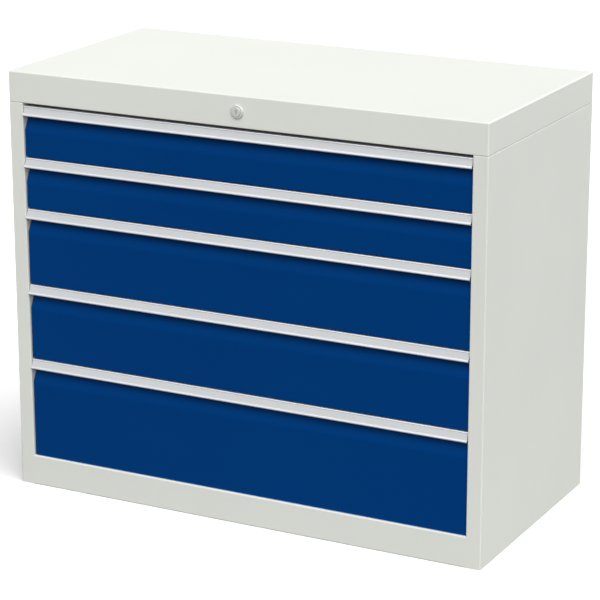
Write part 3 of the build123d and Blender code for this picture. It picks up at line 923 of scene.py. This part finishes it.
@dataclass
class Carcass:
    """The fixed shell: two folded sides, the base with its plinth, and the back."""

    half_width: float = 500 * MM
    front: float = -248.1 * MM
    back: float = 251.9 * MM
    seam: float = 779 * MM
    plinth: float = 61 * MM
    upright: float = 30 * MM
    upright_return: float = 24 * MM
    gauge: float = 1.2 * MM
    inside: float = 1 * MM
    top_bend: float = 1.05 * MM
    top_flange: float = 16 * MM
    rear_flange: float = 20 * MM
    lip: float = 20 * MM
    flange_play: float = 0.3 * MM
    back_flange_end: float = 239.5 * MM
    notch_half: float = 12 * MM
    notch_front: float = 244.1 * MM
    rivet_x: float = 489.4 * MM
    rivet_ends: tuple[float, float] = (101 * MM, 739 * MM)
    rivets: int = 6
    rivet_radius: float = 4 * MM
    rivet_rise: float = 1.2 * MM
    rivet_dome: float = 0.9 * MM
    rivet_shank: float = 2 * MM
    rivet_tail: float = 1 * MM
    mandrel: float = 1.6 * MM
    mandrel_sunk: float = 0.5 * MM

    @property
    def outer(self) -> float:
        """Outside radius of a bend."""
        return self.inside + self.gauge

    @property
    def opening(self) -> float:
        """Half the opening between the uprights."""
        return self.half_width - self.upright

    @property
    def inner(self) -> float:
        """Inside face of a side."""
        return self.half_width - self.gauge

    @property
    def back_inner(self) -> float:
        """Inside face of the back panel."""
        return self.back - 2 * self.gauge

    def side(self) -> Piece:
        """Shape the right side from one block: fold lines, open faces, bends, thickness.

        Returns:
            The right side.
        """
        x0, x1, y0, y1, top = self.opening, self.half_width, self.front, self.back, self.seam
        turned, flange, edge = y0 + self.upright_return, x1 - self.top_flange, x1 - self.rear_flange
        lid_end = self.back_inner - self.flange_play
        cheek = x0 + self.outer
        piece = Piece.block("side_shell_right", (x0, y0, 0), (x1, y1, top))
        for x in (cheek, edge, flange):
            piece.bisect((x, 0, 0), (1, 0, 0))
        for y in (turned, lid_end):
            piece.bisect((0, y, 0), (0, 1, 0))
        piece.bisect((0, 0, self.plinth), (0, 0, 1))
        piece.pick(Pick.FACES, lambda p: same(p.z, 0)).delete()
        piece.pick(Pick.FACES, lambda p: same(p.x, x0) and p.y > turned - NEAR).delete()
        piece.pick(Pick.FACES, lambda p: same(p.x, x0) and p.z < self.plinth + NEAR).delete()
        piece.pick(Pick.FACES, lambda p: same(p.y, y1) and p.x < edge + NEAR).delete()
        cover = lambda p: same(p.z, top) and p.y > turned - NEAR and p.x < flange + NEAR
        piece.pick(Pick.FACES, cover).delete()
        piece.pick(Pick.FACES, lambda p: same(p.z, top) and p.y > lid_end - NEAR).delete()
        low_cheek = lambda p: same(p.y, y0) and p.x < cheek + NEAR and p.z < self.plinth + NEAR
        piece.pick(Pick.FACES, low_cheek).delete().simplify()
        for x, y in ((x0, y0), (x1, y0), (x1, y1)):
            piece.pick(Pick.EDGES, lambda p: same(p.x, x) and same(p.y, y)).bevel(self.outer, 4)
        piece.simplify().pick(Pick.EDGES, lambda p: same(p.z, top), sharp=60).bevel(self.top_bend, 3)
        return piece.simplify().thicken(self.gauge).tidy()

    def base(self) -> Piece:
        """Fold the raised floor with its plinth, and relieve its corners.

        Returns:
            The base pan.
        """
        rear = self.back_inner + self.gauge
        line = [
            Vector((-self.inner, y, z))
            for y, z in (
                (rear - self.lip, 0),
                (rear, 0),
                (rear, self.plinth),
                (self.front, self.plinth),
                (self.front, 0),
                (self.front + self.lip, 0),
            )
        ]
        pan = Piece.folded("base_and_plinth", line, Vector((2 * self.inner, 0, 0)), self.gauge, self.inside)
        for side in (-1, 1):
            xs = sorted((side * (self.opening + self.outer), side * self.half_width))
            low, high = (xs[0], self.front - MM, -MM), (xs[1], self.front + self.outer, self.plinth + MM)
            pan.cut(Piece.block("corner", low, high))
            xs = sorted((side * (self.inner - self.inside), side * self.half_width))
            low, high = (xs[0], rear - self.outer, -MM), (xs[1], self.back, self.plinth + MM)
            pan.cut(Piece.block("corner", low, high))
        return pan.tidy()

    def rear(self) -> Piece:
        """Fold the back panel and notch its flange.

        Returns:
            The back panel.
        """
        y = self.back_inner + self.gauge
        half = self.inner - self.inside
        places = ((y, self.plinth), (y, self.seam), (self.back_flange_end, self.seam))
        line = [Vector((-half, a, b)) for a, b in places]
        panel = Piece.folded("back_sheet", line, Vector((2 * half, 0, 0)), self.gauge, self.inside)
        flange_end = self.inner - self.top_flange - self.flange_play
        for side in (-1, 1):
            xs = sorted((side * flange_end, side * self.half_width))
            low = (xs[0], self.back_flange_end - MM, self.seam - self.outer)
            high = (xs[1], self.back_inner, self.seam + MM)
            panel.cut(Piece.block("corner", low, high))
        low = (-self.notch_half, self.notch_front, self.seam - 2 * self.outer)
        high = (self.notch_half, self.back_inner, self.seam + MM)
        return panel.cut(Piece.block("notch", low, high)).tidy()

    def rivet_rows(self) -> list[Vector]:
        """Where the rivets stand.

        Returns:
            The way from the modelled rivet to each place.
        """
        low, high = self.rivet_ends
        step = (high - low) / (self.rivets - 1)
        return [Vector((s * self.rivet_x, 0, low + step * i)) for s in (-1, 1) for i in range(self.rivets)]

    def blind_rivet(self) -> Piece:
        """Shape one rivet: domed head, mandrel dimple, shank and tail.

        Returns:
            The rivet, on the cabinet's middle line and at the floor.
        """
        back, face = self.back, self.back + self.rivet_rise
        rivet = Piece.rod("rivets", self.rivet_radius, Vector((0, back, 0)), Vector((0, face, 0)), 32)
        top = lambda p: same(p.y, face)
        rivet.pick(Pick.FACES, top).inset(self.rivet_radius - self.mandrel)
        rim = lambda p: top(p) and math.hypot(p.x, p.z) > self.rivet_radius - SLACK
        rivet.pick(Pick.EDGES, rim).bevel(self.rivet_dome, 4)
        dimple = lambda p: top(p) and math.hypot(p.x, p.z) < self.mandrel + SLACK
        rivet.pick(Pick.FACES, dimple).extrude((0, -self.mandrel_sunk, 0))
        under = lambda p: same(p.y, back)
        rivet.pick(Pick.FACES, under).inset(self.rivet_radius - self.rivet_shank)
        shank = lambda p: under(p) and math.hypot(p.x, p.z) < self.rivet_shank + SLACK
        rivet.pick(Pick.FACES, shank).extrude((0, -2 * self.gauge - self.rivet_tail, 0))
        return rivet.tidy()

    def build(self, finishes: Finishes) -> None:
        """Shape and dress the shell.

        Args:
            finishes: the unit's materials.
        """
        right = self.side()
        left = right.mirrored("side_shell_left")
        finishes.dress(right, Slot.FRAME, "cabinet", "right_side_panel")
        finishes.dress(left, Slot.FRAME, "cabinet", "left_side_panel")
        finishes.dress(self.base(), Slot.FRAME, "cabinet", "base_pan")
        finishes.dress(self.rear(), Slot.FRAME, "cabinet", "back_panel")
        rivet = self.blind_rivet()
        places = self.rivet_rows()
        copies = [rivet.copy(f"rivet_{number}", place) for number, place in enumerate(places)]
        bpy.data.objects.remove(rivet.obj)
        rivets = copies[0].join(*copies[1:])
        rivets.obj.name = "back_rivet_heads"
        finishes.dress(rivets, Slot.STEEL, "cabinet", "back_rivets")


@dataclass
class Cap:
    """The deep folded lid that closes the top."""

    half_width: float = Carcass.half_width
    front: float = Carcass.front
    back: float = Carcass.back
    foot: float = Carcass.seam
    top: float = 840 * MM
    gauge: float = Carcass.gauge
    corner: float = 2.2 * MM
    crown: float = 3.0 * MM
    flange: float = 12 * MM
    notch_half: float = Carcass.notch_half
    notch_front: float = Carcass.notch_front
    notch_back: float = 249.5 * MM
    lock_height: float = 809.5 * MM
    lock_hole: float = 10 * MM

    def build(self, finishes: Finishes) -> None:
        """Shape the lid from one block: bends, hollow, lock hole and notch.

        Args:
            finishes: the unit's materials.
        """
        w, y0, y1, z0, z1 = self.half_width, self.front, self.back, self.foot, self.top
        cap = Piece.block("cap_lid", (-w, y0, z0), (w, y1, z1))
        cap.pick(Pick.EDGES, lambda p: same(p.z, z1))
        cap.pick(Pick.EDGES, lambda p: True, along=(0, 0, 1), more=True).bevel(self.crown, 5)
        cap.pick(Pick.EDGES, lambda p: same(p.z, z0), sharp=60).bevel(self.corner, 4)
        cap.thicken(self.gauge)
        reach = self.flange
        low, high = (reach - w, y0 + reach, z0 - MM), (w - reach, y1 - reach, z0 + self.corner)
        mouth = Piece.block("mouth", low, high)
        bore_front = Vector((0, y0 - MM, self.lock_height))
        bore_back = Vector((0, y0 + self.gauge + MM, self.lock_height))
        bore = Piece.rod("bore", self.lock_hole, bore_front, bore_back)
        low = (-self.notch_half, self.notch_front, z0 - MM)
        notch = Piece.block("notch", low, (self.notch_half, self.notch_back, z0 + self.corner))
        finishes.dress(cap.cut(mouth, bore, notch).tidy(), Slot.FRAME, "cabinet", "top_cap")
        for node in ("cap_screws", "rod_bearing"):
            finishes.refine(node, Slot.STEEL, "cabinet")


@dataclass
class Drawer:
    """One drawer's place in the stack, with its blue front and its tray."""

    number: int
    top: float
    height: float
    half_width: float = 469 * MM
    front: float = -243.6 * MM
    depth: float = 16.5 * MM
    gauge: float = 1 * MM
    recess_start: float = 47 * MM
    recess_end: float = 16 * MM
    recess_bend: float = 30 * MM
    recess_fold: float = 0.5 * MM
    edge_drop: float = 2 * MM
    cheek_drop: float = 3 * MM
    flange: float = 12 * MM
    fold: float = 1.2 * MM
    tray_half: float = 455 * MM
    tray_front: float = front + depth
    tray_back: float = 193.9 * MM
    tray_rise: float = 6 * MM
    tray_fold: float = 2 * MM
    rim_drop: float = 14 * MM
    rim_flange: float = 8 * MM
    rim_start: float = 4 * MM

    @property
    def body(self) -> str:
        """The CAD body that the drawer rides on."""
        return f"drawer_{self.number}"

    @property
    def bottom(self) -> float:
        """Height of the front's lower edge."""
        return self.top - self.height

    def blue_front(self) -> Piece:
        """Shape the front from a block: lean the top back, open it, fold the edges, thicken.

        Returns:
            The blue front.
        """
        w, y0, y1 = self.half_width, self.front, self.front + self.depth
        lean, bend = self.top - self.recess_end, self.top - self.recess_start
        edge, low, cheek = self.top - self.edge_drop, self.bottom, lean - self.cheek_drop
        inner = y1 - self.gauge
        name = f"front_sheet_{self.number}"
        piece = Piece.block(name, (-w, y0, low), (w, y1, edge))
        for z in (lean, bend, low + self.flange + MM):
            piece.bisect((0, 0, z), (0, 0, 1))
        piece.pick(Pick.POINTS, lambda p: same(p.y, y0) and p.z > lean - NEAR).move((0, inner - y0, 0))
        piece.bisect((0, 0, cheek), (0, 0, 1))
        piece.pick(Pick.FACES, lambda p: same(p.y, y1)).delete()
        piece.pick(Pick.FACES, lambda p: same(p.z, edge)).delete()
        for side in (-1, 1):
            piece.pick(Pick.FACES, lambda p: p.z > cheek - NEAR, facing=(side, 0, 0)).delete()
            rim = lambda p: same(p.y, y1) and same(p.x, side * w) and low + self.flange < p.z < cheek + NEAR
            piece.pick(Pick.EDGES, rim).extrude((-side * self.flange, 0, 0))
        piece.pick(Pick.EDGES, lambda p: same(p.y, y1) and same(p.z, low)).extrude((0, 0, self.flange))
        piece.simplify().pick(Pick.EDGES, lambda p: True, sharp=60).bevel(self.fold, 3)
        angle = math.atan2(inner - y0, lean - bend)
        radius = self.recess_bend + self.gauge
        turn = lambda p: same(p.y, y0) and same(p.z, bend)
        piece.pick(Pick.EDGES, turn).bevel(radius * math.tan(angle / 2), 12)
        turn = lambda p: same(p.y, inner) and same(p.z, lean)
        piece.pick(Pick.EDGES, turn).bevel(self.recess_fold, 2)
        return piece.thicken(self.gauge).tidy()

    def tray(self) -> Piece:
        """Shape the tray from a block: open it, round its folds, turn its rims out, thicken.

        Returns:
            The tray.
        """
        w, y0, y1 = self.tray_half, self.tray_front, self.tray_back
        low, rim = self.bottom + self.tray_rise, self.top - self.rim_drop
        shoulder = rim - self.gauge
        piece = Piece.block(f"tray_box_{self.number}", (-w, y0, low), (w, y1, shoulder))
        piece.pick(Pick.FACES, lambda p: same(p.z, shoulder)).delete()
        piece.pick(Pick.EDGES, lambda p: same(p.z, low)).bevel(self.tray_fold, 3)
        start = y0 + self.rim_start
        piece.bisect((0, start, 0), (0, 1, 0))
        edge = lambda p: same(p.z, shoulder)
        rise = self.top - self.edge_drop - shoulder
        piece.pick(Pick.EDGES, lambda p: edge(p) and same(p.y, y0)).extrude((0, 0, rise))
        piece.pick(Pick.EDGES, lambda p: edge(p) and same(p.y, y1)).extrude((0, 0, self.gauge))
        for side in (-1, 1):
            line = lambda p: edge(p) and same(p.x, side * w) and p.y > start - NEAR
            piece.pick(Pick.EDGES, line).extrude((side * self.rim_flange, 0, 0))
            line = lambda p: edge(p) and same(p.x, side * w) and p.y < start + NEAR
            piece.pick(Pick.EDGES, line).extrude((0, 0, self.gauge))
        return piece.thicken(self.gauge).tidy()


@dataclass
class HandleStrip:
    """Section of the aluminium handle: clip over the front, label channel and rounded nose."""

    front: float = Drawer.front
    half_width: float = Drawer.half_width
    reach: float = 8 * MM
    drop: float = 19 * MM
    nose: float = 2 * MM
    wall: float = 1.6 * MM
    lip: float = 0.9 * MM
    top_lip: float = 2 * MM
    nose_lip: float = 2.7 * MM
    recess: float = 1.8 * MM
    plate: float = 3.3 * MM
    clip: float = 12 * MM
    legs: tuple[float, ...] = (13.7 * MM, 15.3 * MM, 17.7 * MM, 19.3 * MM)
    ease: float = 0.2 * MM
    card_start: float = 1.7 * MM
    card_depths: tuple[float, float] = (0.95 * MM, 1.75 * MM)
    card_play: float = 0.1 * MM
    card_end_play: float = 0.5 * MM
    card_ease: float = 0.15 * MM

    def __post_init__(self) -> None:
        """Work out the way down the face, the way in, and the length to the nose."""
        centre = (self.nose - self.reach, self.nose - self.drop)
        distance = math.hypot(*centre)
        angle = math.atan2(centre[1], centre[0]) - math.asin(self.nose / distance)
        self.down = Vector((0, math.cos(angle), math.sin(angle)))
        self.inward = Vector((0, -self.down.z, self.down.y))
        self.length = math.sqrt(distance**2 - self.nose**2)

    def place(self, top: float, along: float, deep: float) -> Vector:
        """A point of the section, at the strip's left end.

        Args:
            top: height of the strip's upper face.
            along: length down the face from the upper edge.
            deep: depth behind the face.

        Returns:
            The point.
        """
        return Vector((-self.half_width, self.front, top)) + self.down * along + self.inward * deep

    def nose_arc(self, top: float, steps: int = 12) -> list[Vector]:
        """Points round the nose, from the face to the plate's back.

        Args:
            top: height of the strip's upper face.
            steps: how many straight lines stand for the round.

        Returns:
            The points in order.
        """
        centre = self.place(top, self.length, self.nose)
        first, last = -math.pi / 2, math.pi / 2 + math.asin((self.plate - self.nose) / self.nose)
        points = []
        for step in range(steps + 1):
            angle = first + (last - first) * step / steps
            points.append(centre + (self.down * math.cos(angle) + self.inward * math.sin(angle)) * self.nose)
        return points

    def strip(self, top: float) -> Piece:
        """Draw the section point by point and draw it out across the cabinet.

        Args:
            top: height of the strip's upper face.

        Returns:
            The strip.
        """
        end = self.length
        face = [(self.top_lip, 0), (self.top_lip, self.lip), (self.lip, self.lip), (self.lip, self.recess)]
        inner = math.sqrt(self.nose**2 - (self.nose - self.recess) ** 2)
        under = math.sqrt(self.nose**2 - (self.nose - self.lip) ** 2)
        face += [(end - inner, self.recess), (end - under, self.lip)]
        face += [(end - self.nose_lip, self.lip), (end - self.nose_lip, 0)]
        points = [self.place(top, 0, 0)] + [self.place(top, s, d) for s, d in face]
        points += self.nose_arc(top)
        along = (self.wall + self.inward.z * self.plate) / -self.down.z
        points.append(self.place(top, along, self.plate))
        x = -self.half_width
        a, b, c, d = (self.front + leg for leg in self.legs)
        web, foot = top - self.wall, top - self.clip
        for y, z in ((a, web), (a, foot), (b, foot), (b, web), (c, web), (c, foot), (d, foot), (d, top)):
            points.append(Vector((x, y, z)))
        section = Piece.outline("handle_strip_1", points, Vector((2 * self.half_width, 0, 0)))
        return section.ease_edges(self.ease, 40.0)

    def label(self, top: float) -> Piece:
        """Shape the card that lies in the channel.

        Args:
            top: height of the strip's upper face.

        Returns:
            The card.
        """
        low, high = self.card_depths
        start, end = self.card_start, self.length - self.nose - self.card_play
        points = [self.place(top, s, d) for s, d in ((start, low), (end, low), (end, high), (start, high))]
        shift = Vector((self.card_end_play, 0, 0))
        span = Vector((2 * (self.half_width - self.card_end_play), 0, 0))
        card = Piece.outline("label_card_1", [p + shift for p in points], span)
        return card.ease_edges(self.card_ease)


@dataclass
class Rails:
    """The telescopic slides of one drawer, drawn for the top one."""

    centre: float
    post_face: float = 469 * MM
    start: float = -223.1 * MM
    length: float = 440 * MM
    height: float = 44 * MM
    depth: float = 14 * MM
    gauge: float = 1.5 * MM
    play: float = 0.35 * MM
    inside: float = 0.4 * MM
    lip: float = 5 * MM
    inset: float = 2 * MM
    posts: tuple[float, float] = (-206.1 * MM, 172.9 * MM)
    hook_spread: float = 24 * MM
    hook_half: float = 1.6 * MM
    hook_root: float = 0.7 * MM
    hook_neck: float = 1.9 * MM
    hook_reach: float = 4.5 * MM
    hook_height: float = 8 * MM
    hook_under: float = 3.6 * MM
    hook_drop: float = 3 * MM

    def _rail(self, name: str, line: Sequence[tuple[float, float]]) -> Piece:
        """Fold one rail from its section.

        Args:
            name: the piece's name.
            line: the section's corners, each by its distance from the post and its height over
                the rail's middle.

        Returns:
            The rail.
        """
        back = self.start + self.length
        points = [Vector((self.post_face - x, back, self.centre + z)) for x, z in line]
        rail = Piece.folded(name, points[::-1], Vector((0, -self.length, 0)), self.gauge, self.inside)
        return rail.tidy()

    def outer(self) -> Piece:
        """The cabinet rail with the hooks that hang it in the posts.

        Returns:
            The right outer rail.
        """
        half, mouth = self.height / 2, self.depth - self.inset
        low = [(0, -half), (mouth, -half), (mouth, self.lip - half)]
        line = [(mouth, half - self.lip), (mouth, half), (0, half), *low]
        rail = self._rail("rails_outer_1", line)
        face, neck = self.post_face, self.post_face + self.hook_neck
        for middle in self.posts:
            for side in (-1, 1):
                foot = self.centre + side * self.hook_spread / 2 - self.hook_under
                hook = Piece.block(
                    "hook",
                    (face - self.hook_root, middle - self.hook_half, foot),
                    (face + self.hook_reach, middle + self.hook_half, foot + self.hook_height),
                )
                hook.bisect((neck, 0, 0), (1, 0, 0))
                under = lambda p: same(p.z, foot) and p.x > neck - NEAR
                rail.join(hook.pick(Pick.FACES, under).extrude((0, 0, -self.hook_drop)))
        return rail

    def middle(self) -> Piece:
        """The rail between, which travels half as far.

        Returns:
            The right middle rail.
        """
        step = self.gauge + self.play
        half, mouth = self.height / 2 - step, self.depth - self.inset - step
        low = [(step, -half), (mouth, -half), (mouth, self.lip - half)]
        line = [(mouth, half - self.lip), (mouth, half), (step, half), *low]
        return self._rail("rails_middle_1", line)

    def inner(self) -> Piece:
        """The drawer rail, a hat section with its crown on the tray.

        Returns:
            The right inner rail.
        """
        step = self.gauge + self.play
        brim_top = self.height / 2 - 2 * step
        leg = self.height / 2 - step - self.lip - self.play
        brim = self.depth - self.inset - 2 * step
        high = [(self.depth, leg), (brim, leg), (brim, brim_top)]
        line = [(brim, -brim_top), (brim, -leg), (self.depth, -leg), *high]
        return self._rail("rails_inner_1", line)


@dataclass
class LockWork:
    """The lock in the cap and the bar behind the drawers that it lifts."""

    front: float = Carcass.front
    height: float = Cap.lock_height
    flange_radius: float = 13 * MM
    flange_depth: float = 3.5 * MM
    taper: float = 1.6 * MM
    barrel_radius: float = 9.9 * MM
    barrel_length: float = 26 * MM
    bore: float = 7.1 * MM
    plug: float = 7 * MM
    head: float = 8.6 * MM
    head_height: float = 1.2 * MM
    head_bevel: float = 0.6 * MM
    collar_play: float = 0.3 * MM
    collar: float = 3 * MM
    tail: float = 10 * MM
    key_slot: tuple[float, float] = (0.8 * MM, 4 * MM)
    socket: tuple[float, float] = (3.1 * MM, 8 * MM)
    ease: float = 0.25 * MM
    plug_ease: float = 0.15 * MM

    def _radius(self, p: Vector) -> float:
        """How far a point is from the lock's axis."""
        return math.hypot(p.x, p.z - self.height)

    def housing(self) -> Piece:
        """Turn the housing: tapered flange, barrel and bore.

        Returns:
            The housing.
        """
        out, face = self.front - self.flange_depth, Vector((0, self.front, self.height))
        piece = Piece.rod("lock_body", self.flange_radius, face, face - Vector((0, self.flange_depth, 0)))
        rim = lambda p: same(p.y, out)
        piece.pick(Pick.EDGES, rim).bevel(self.taper, 3)
        piece.pick(Pick.FACES, rim).inset(self.flange_radius - self.taper - self.bore)
        piece.pick(Pick.FACES, lambda p: same(p.y, self.front)).inset(self.flange_radius - self.barrel_radius)
        core = lambda p: same(p.y, self.front) and self._radius(p) < self.barrel_radius + NEAR
        piece.pick(Pick.FACES, core).extrude((0, self.barrel_length, 0))
        end = self.front + self.barrel_length
        piece.pick(Pick.FACES, lambda p: same(p.y, end)).inset(self.barrel_radius - self.bore)
        hole = lambda p: self._radius(p) < self.bore + SLACK
        piece.pick(Pick.FACES, hole).delete()
        piece.pick(Pick.EDGES, hole)
        with piece.editing():
            bpy.ops.mesh.bridge_edge_loops()
        return piece.tidy().ease_edges(self.ease, 40.0)

    def cylinder(self) -> Piece:
        """Turn the plug: head, shank, collar and tail, with the key slot and the socket.

        Returns:
            The plug.
        """
        level = self.front - self.flange_depth - self.collar_play
        start = level - self.head_height
        face = Vector((0, start, self.height))
        piece = Piece.rod("lock_cylinder", self.head, face, Vector((0, level, self.height)))
        piece.pick(Pick.EDGES, lambda p: same(p.y, start)).bevel(self.head_bevel, 3)
        collar = self.front + self.barrel_length + self.collar_play
        shrink, grow = self.plug / self.head, self.head / self.plug
        steps = ((shrink, collar - level), (grow, self.collar), (shrink, self.tail))
        for factor, length in steps:
            piece.pick(Pick.FACES, lambda p: same(p.y, level)).extrude((0, 0, 0))
            piece.resize((factor, 1, factor), (0, level, self.height)).extrude((0, length, 0))
            level += length
        half, reach = self.key_slot
        low, high = (-half, start - MM, self.height - reach), (half, start + reach, self.height + reach)
        slot = Piece.block("slot", low, high)
        side, deep = self.socket
        low, high = (-side, level - deep, self.height - side), (side, level + MM, self.height + side)
        piece.cut(slot, Piece.block("socket", low, high))
        return piece.tidy().ease_edges(self.plug_ease, 40.0)

    def build(self, finishes: Finishes) -> None:
        """Shape and dress the lock and refine its hidden works.

        Args:
            finishes: the unit's materials.
        """
        finishes.dress(self.housing(), Slot.LOCK, "cabinet", "lock_housing")
        finishes.dress(self.cylinder(), Slot.LOCK, "lock", "lock_plug")
        for node, body in (
            ("lock_nut", "cabinet"),
            ("bar_guides", "cabinet"),
            ("lock_rod", "lock"),
            ("lock_crank", "lock"),
            ("locking_bar", "bar"),
            ("bar_hooks", "bar"),
        ):
            finishes.refine(node, Slot.STEEL, body)


@dataclass
class DrawerStack:
    """All the drawers with their slides and the posts that carry them."""

    top: float = 773 * MM
    gap: float = 3 * MM
    heights: tuple[float, ...] = (99 * MM, 99 * MM, 150 * MM, 150 * MM, 201 * MM)
    slide_rise: float = 32 * MM
    tray_back: float = Drawer.tray_back
    catch_rise: float = 36 * MM
    catch_wide: float = 24 * MM
    catch_reach: float = 22 * MM
    catch_fold: float = 13 * MM
    catch_wall: float = 10 * MM
    catch_gauge: float = 2 * MM
    catch_bend: float = 0.3 * MM

    def drawers(self) -> list[Drawer]:
        """The drawers from the top down.

        Returns:
            One drawer for each height.
        """
        found, top = [], self.top
        for number, height in enumerate(self.heights, 1):
            found.append(Drawer(number, top, height))
            top -= height + self.gap
        return found

    def catch(self, low: float) -> Piece:
        """Fold the catch that the locking bar's tooth stands before.

        Args:
            low: height of the catch's lower edge.

        Returns:
            The catch.
        """
        y, under, reach = self.tray_back, low + self.catch_fold, self.catch_reach
        places = ((0, self.catch_wall), (0, 0), (reach, 0), (reach, -self.catch_fold))
        line = [Vector((-self.catch_wide / 2, y + a, under + b)) for a, b in places]
        span = Vector((self.catch_wide, 0, 0))
        return Piece.folded("tray_catch_1", line, span, self.catch_gauge, self.catch_bend).tidy()

    def build(self, finishes: Finishes) -> None:
        """Shape each repeated piece once, copy it down the stack and dress the copies.

        Args:
            finishes: the unit's materials.
        """
        drawers = self.drawers()
        first = drawers[0]
        slides = Rails(first.bottom + self.slide_rise)
        strip = HandleStrip()
        shared = {
            "handle": (strip.strip(first.top), Slot.HANDLE, first.top),
            "label_strip": (strip.label(first.top), Slot.LABEL, first.top),
            "catch": (self.catch(first.bottom + self.catch_rise), Slot.STEEL, first.bottom),
            "outer_rails": (slides.outer(), Slot.STEEL, first.bottom),
            "middle_rails": (slides.middle(), Slot.STEEL, first.bottom),
            "inner_rails": (slides.inner(), Slot.STEEL, first.bottom),
        }
        bodies = {"outer_rails": "cabinet", "middle_rails": "drawer_{}_runners"}
        for part, (model, slot, level) in shared.items():
            if part.endswith("rails"):
                model.join(model.mirrored("twin"))
            for drawer in drawers[::-1]:
                height = (drawer.top if part in ("handle", "label_strip") else drawer.bottom) - level
                name = model.obj.name.replace("_1", f"_{drawer.number}")
                piece = model if drawer is first else model.copy(name, (0, 0, height))
                body = bodies.get(part, "drawer_{}").format(drawer.number)
                finishes.dress(piece, slot, body, f"drawer_{drawer.number}_{part}")
        for drawer in drawers:
            finishes.dress(drawer.blue_front(), Slot.FRONT, drawer.body, f"{drawer.body}_front")
            finishes.dress(drawer.tray(), Slot.TRAY, drawer.body, f"{drawer.body}_tray")
        for place in ("front", "rear"):
            for side in ("right", "left"):
                finishes.refine(f"{place}_post_{side}", Slot.STEEL, "cabinet")


@dataclass
class Studio:
    """Pale floor, even light and the camera of the picture."""

    camera_place: tuple[float, float, float] = (2.1722, -4.1731, 1.8055)
    azimuth: float = 27.504
    elevation: float = 16.822
    roll: float = -0.099
    lens: float = 150.35
    sky: float = 0.04
    floor_bounce: float = 0.25
    floor_seen: float = 0.95
    lamps: tuple[tuple[str, float, float, float], ...] = (
        ("overhead lamp", 4.38, 27.0, 47.8),
        ("lamp on the right", 1.94, 128.0, 30.0),
    )
    lamp_size: float = 80.0
    floor_size: float = 60.0
    film_width: float = 36.0
    clip: tuple[float, float] = (0.05, 200.0)

    def camera(self) -> None:
        """Stand the camera where the picture was taken."""
        data = bpy.data.cameras.new("Camera")
        data.lens, data.sensor_width, data.sensor_fit = self.lens, self.film_width, "AUTO"
        data.clip_start, data.clip_end = self.clip
        camera = bpy.data.objects.new("Camera", data)
        bpy.context.scene.collection.objects.link(camera)
        az, el, roll = (math.radians(a) for a in (self.azimuth, self.elevation, self.roll))
        back = Vector((math.sin(az) * math.cos(el), -math.cos(az) * math.cos(el), math.sin(el)))
        level = Vector((math.cos(az), math.sin(az), 0))
        rise = back.cross(level)
        right = level * math.cos(roll) + rise * math.sin(roll)
        up = rise * math.cos(roll) - level * math.sin(roll)
        turn = Matrix((right, up, back)).transposed().to_4x4()
        camera.matrix_world = Matrix.Translation(self.camera_place) @ turn
        bpy.context.scene.camera = camera

    def lights(self) -> None:
        """Hang the soft lamps."""
        for name, strength, azimuth, elevation in self.lamps:
            data = bpy.data.lights.new(name, "SUN")
            data.energy = strength
            data.angle = math.radians(self.lamp_size)
            lamp = bpy.data.objects.new(name, data)
            bpy.context.scene.collection.objects.link(lamp)
            az, el = math.radians(azimuth), math.radians(elevation)
            back = Vector((math.sin(az) * math.cos(el), -math.cos(az) * math.cos(el), math.sin(el)))
            lamp.rotation_mode = "QUATERNION"
            lamp.rotation_quaternion = back.to_track_quat("Z", "Y")

    def world(self) -> None:
        """Surround the object with white, dimmer as a light than as a sight."""
        world = bpy.data.worlds.new("Studio white")
        bpy.context.scene.world = world
        world.use_nodes = True
        nodes = Nodes(world.node_tree)
        path = nodes.add("LightPath").outputs
        seen = nodes.math("MAXIMUM", path["Is Camera Ray"], path["Is Glossy Ray"])
        seen = nodes.math("MAXIMUM", seen, path["Is Transmission Ray"])
        strength = nodes.span(seen, self.sky, 1.0)
        background = nodes.feed(nodes.add("Background"), Color=(1, 1, 1, 1), Strength=strength)
        nodes.feed(nodes.add("OutputWorld"), Surface=background.outputs[0])

    def floor(self) -> None:
        """Lay the pale floor, which keeps the object's shadow."""
        bpy.ops.object.select_all(action="DESELECT")
        bpy.ops.mesh.primitive_plane_add(size=self.floor_size)
        floor = bpy.context.object
        floor.name = "studio_floor"
        material = bpy.data.materials.new("Studio floor")
        material.use_nodes = True
        nodes = Nodes(material.node_tree)
        seen = nodes.add("LightPath").outputs["Is Camera Ray"]
        level = nodes.span(seen, self.floor_bounce, self.floor_seen)
        tone = nodes.feed(nodes.add("CombineColor"), Red=level, Green=level, Blue=level)
        diffuse = nodes.feed(nodes.add("BsdfDiffuse"), Color=tone.outputs[0])
        nodes.feed(nodes.add("OutputMaterial"), Surface=diffuse.outputs[0])
        floor.data.materials.append(material)

    def build(self) -> None:
        """Set up the whole studio."""
        self.camera()
        self.lights()
        self.world()
        self.floor()
        bpy.context.scene.view_settings.view_transform = "Standard"


def main() -> None:
    """Build the unit's sub-assemblies in order, then the studio."""
    logging.basicConfig(level=logging.INFO, format="%(name)s %(message)s")
    finishes = Finishes()
    for part in (Carcass(), Cap(), DrawerStack(), LockWork()):
        part.build(finishes)
        log.info("%s is built", type(part).__name__)
    Studio().build()


if __name__ == "__main__":
    main()
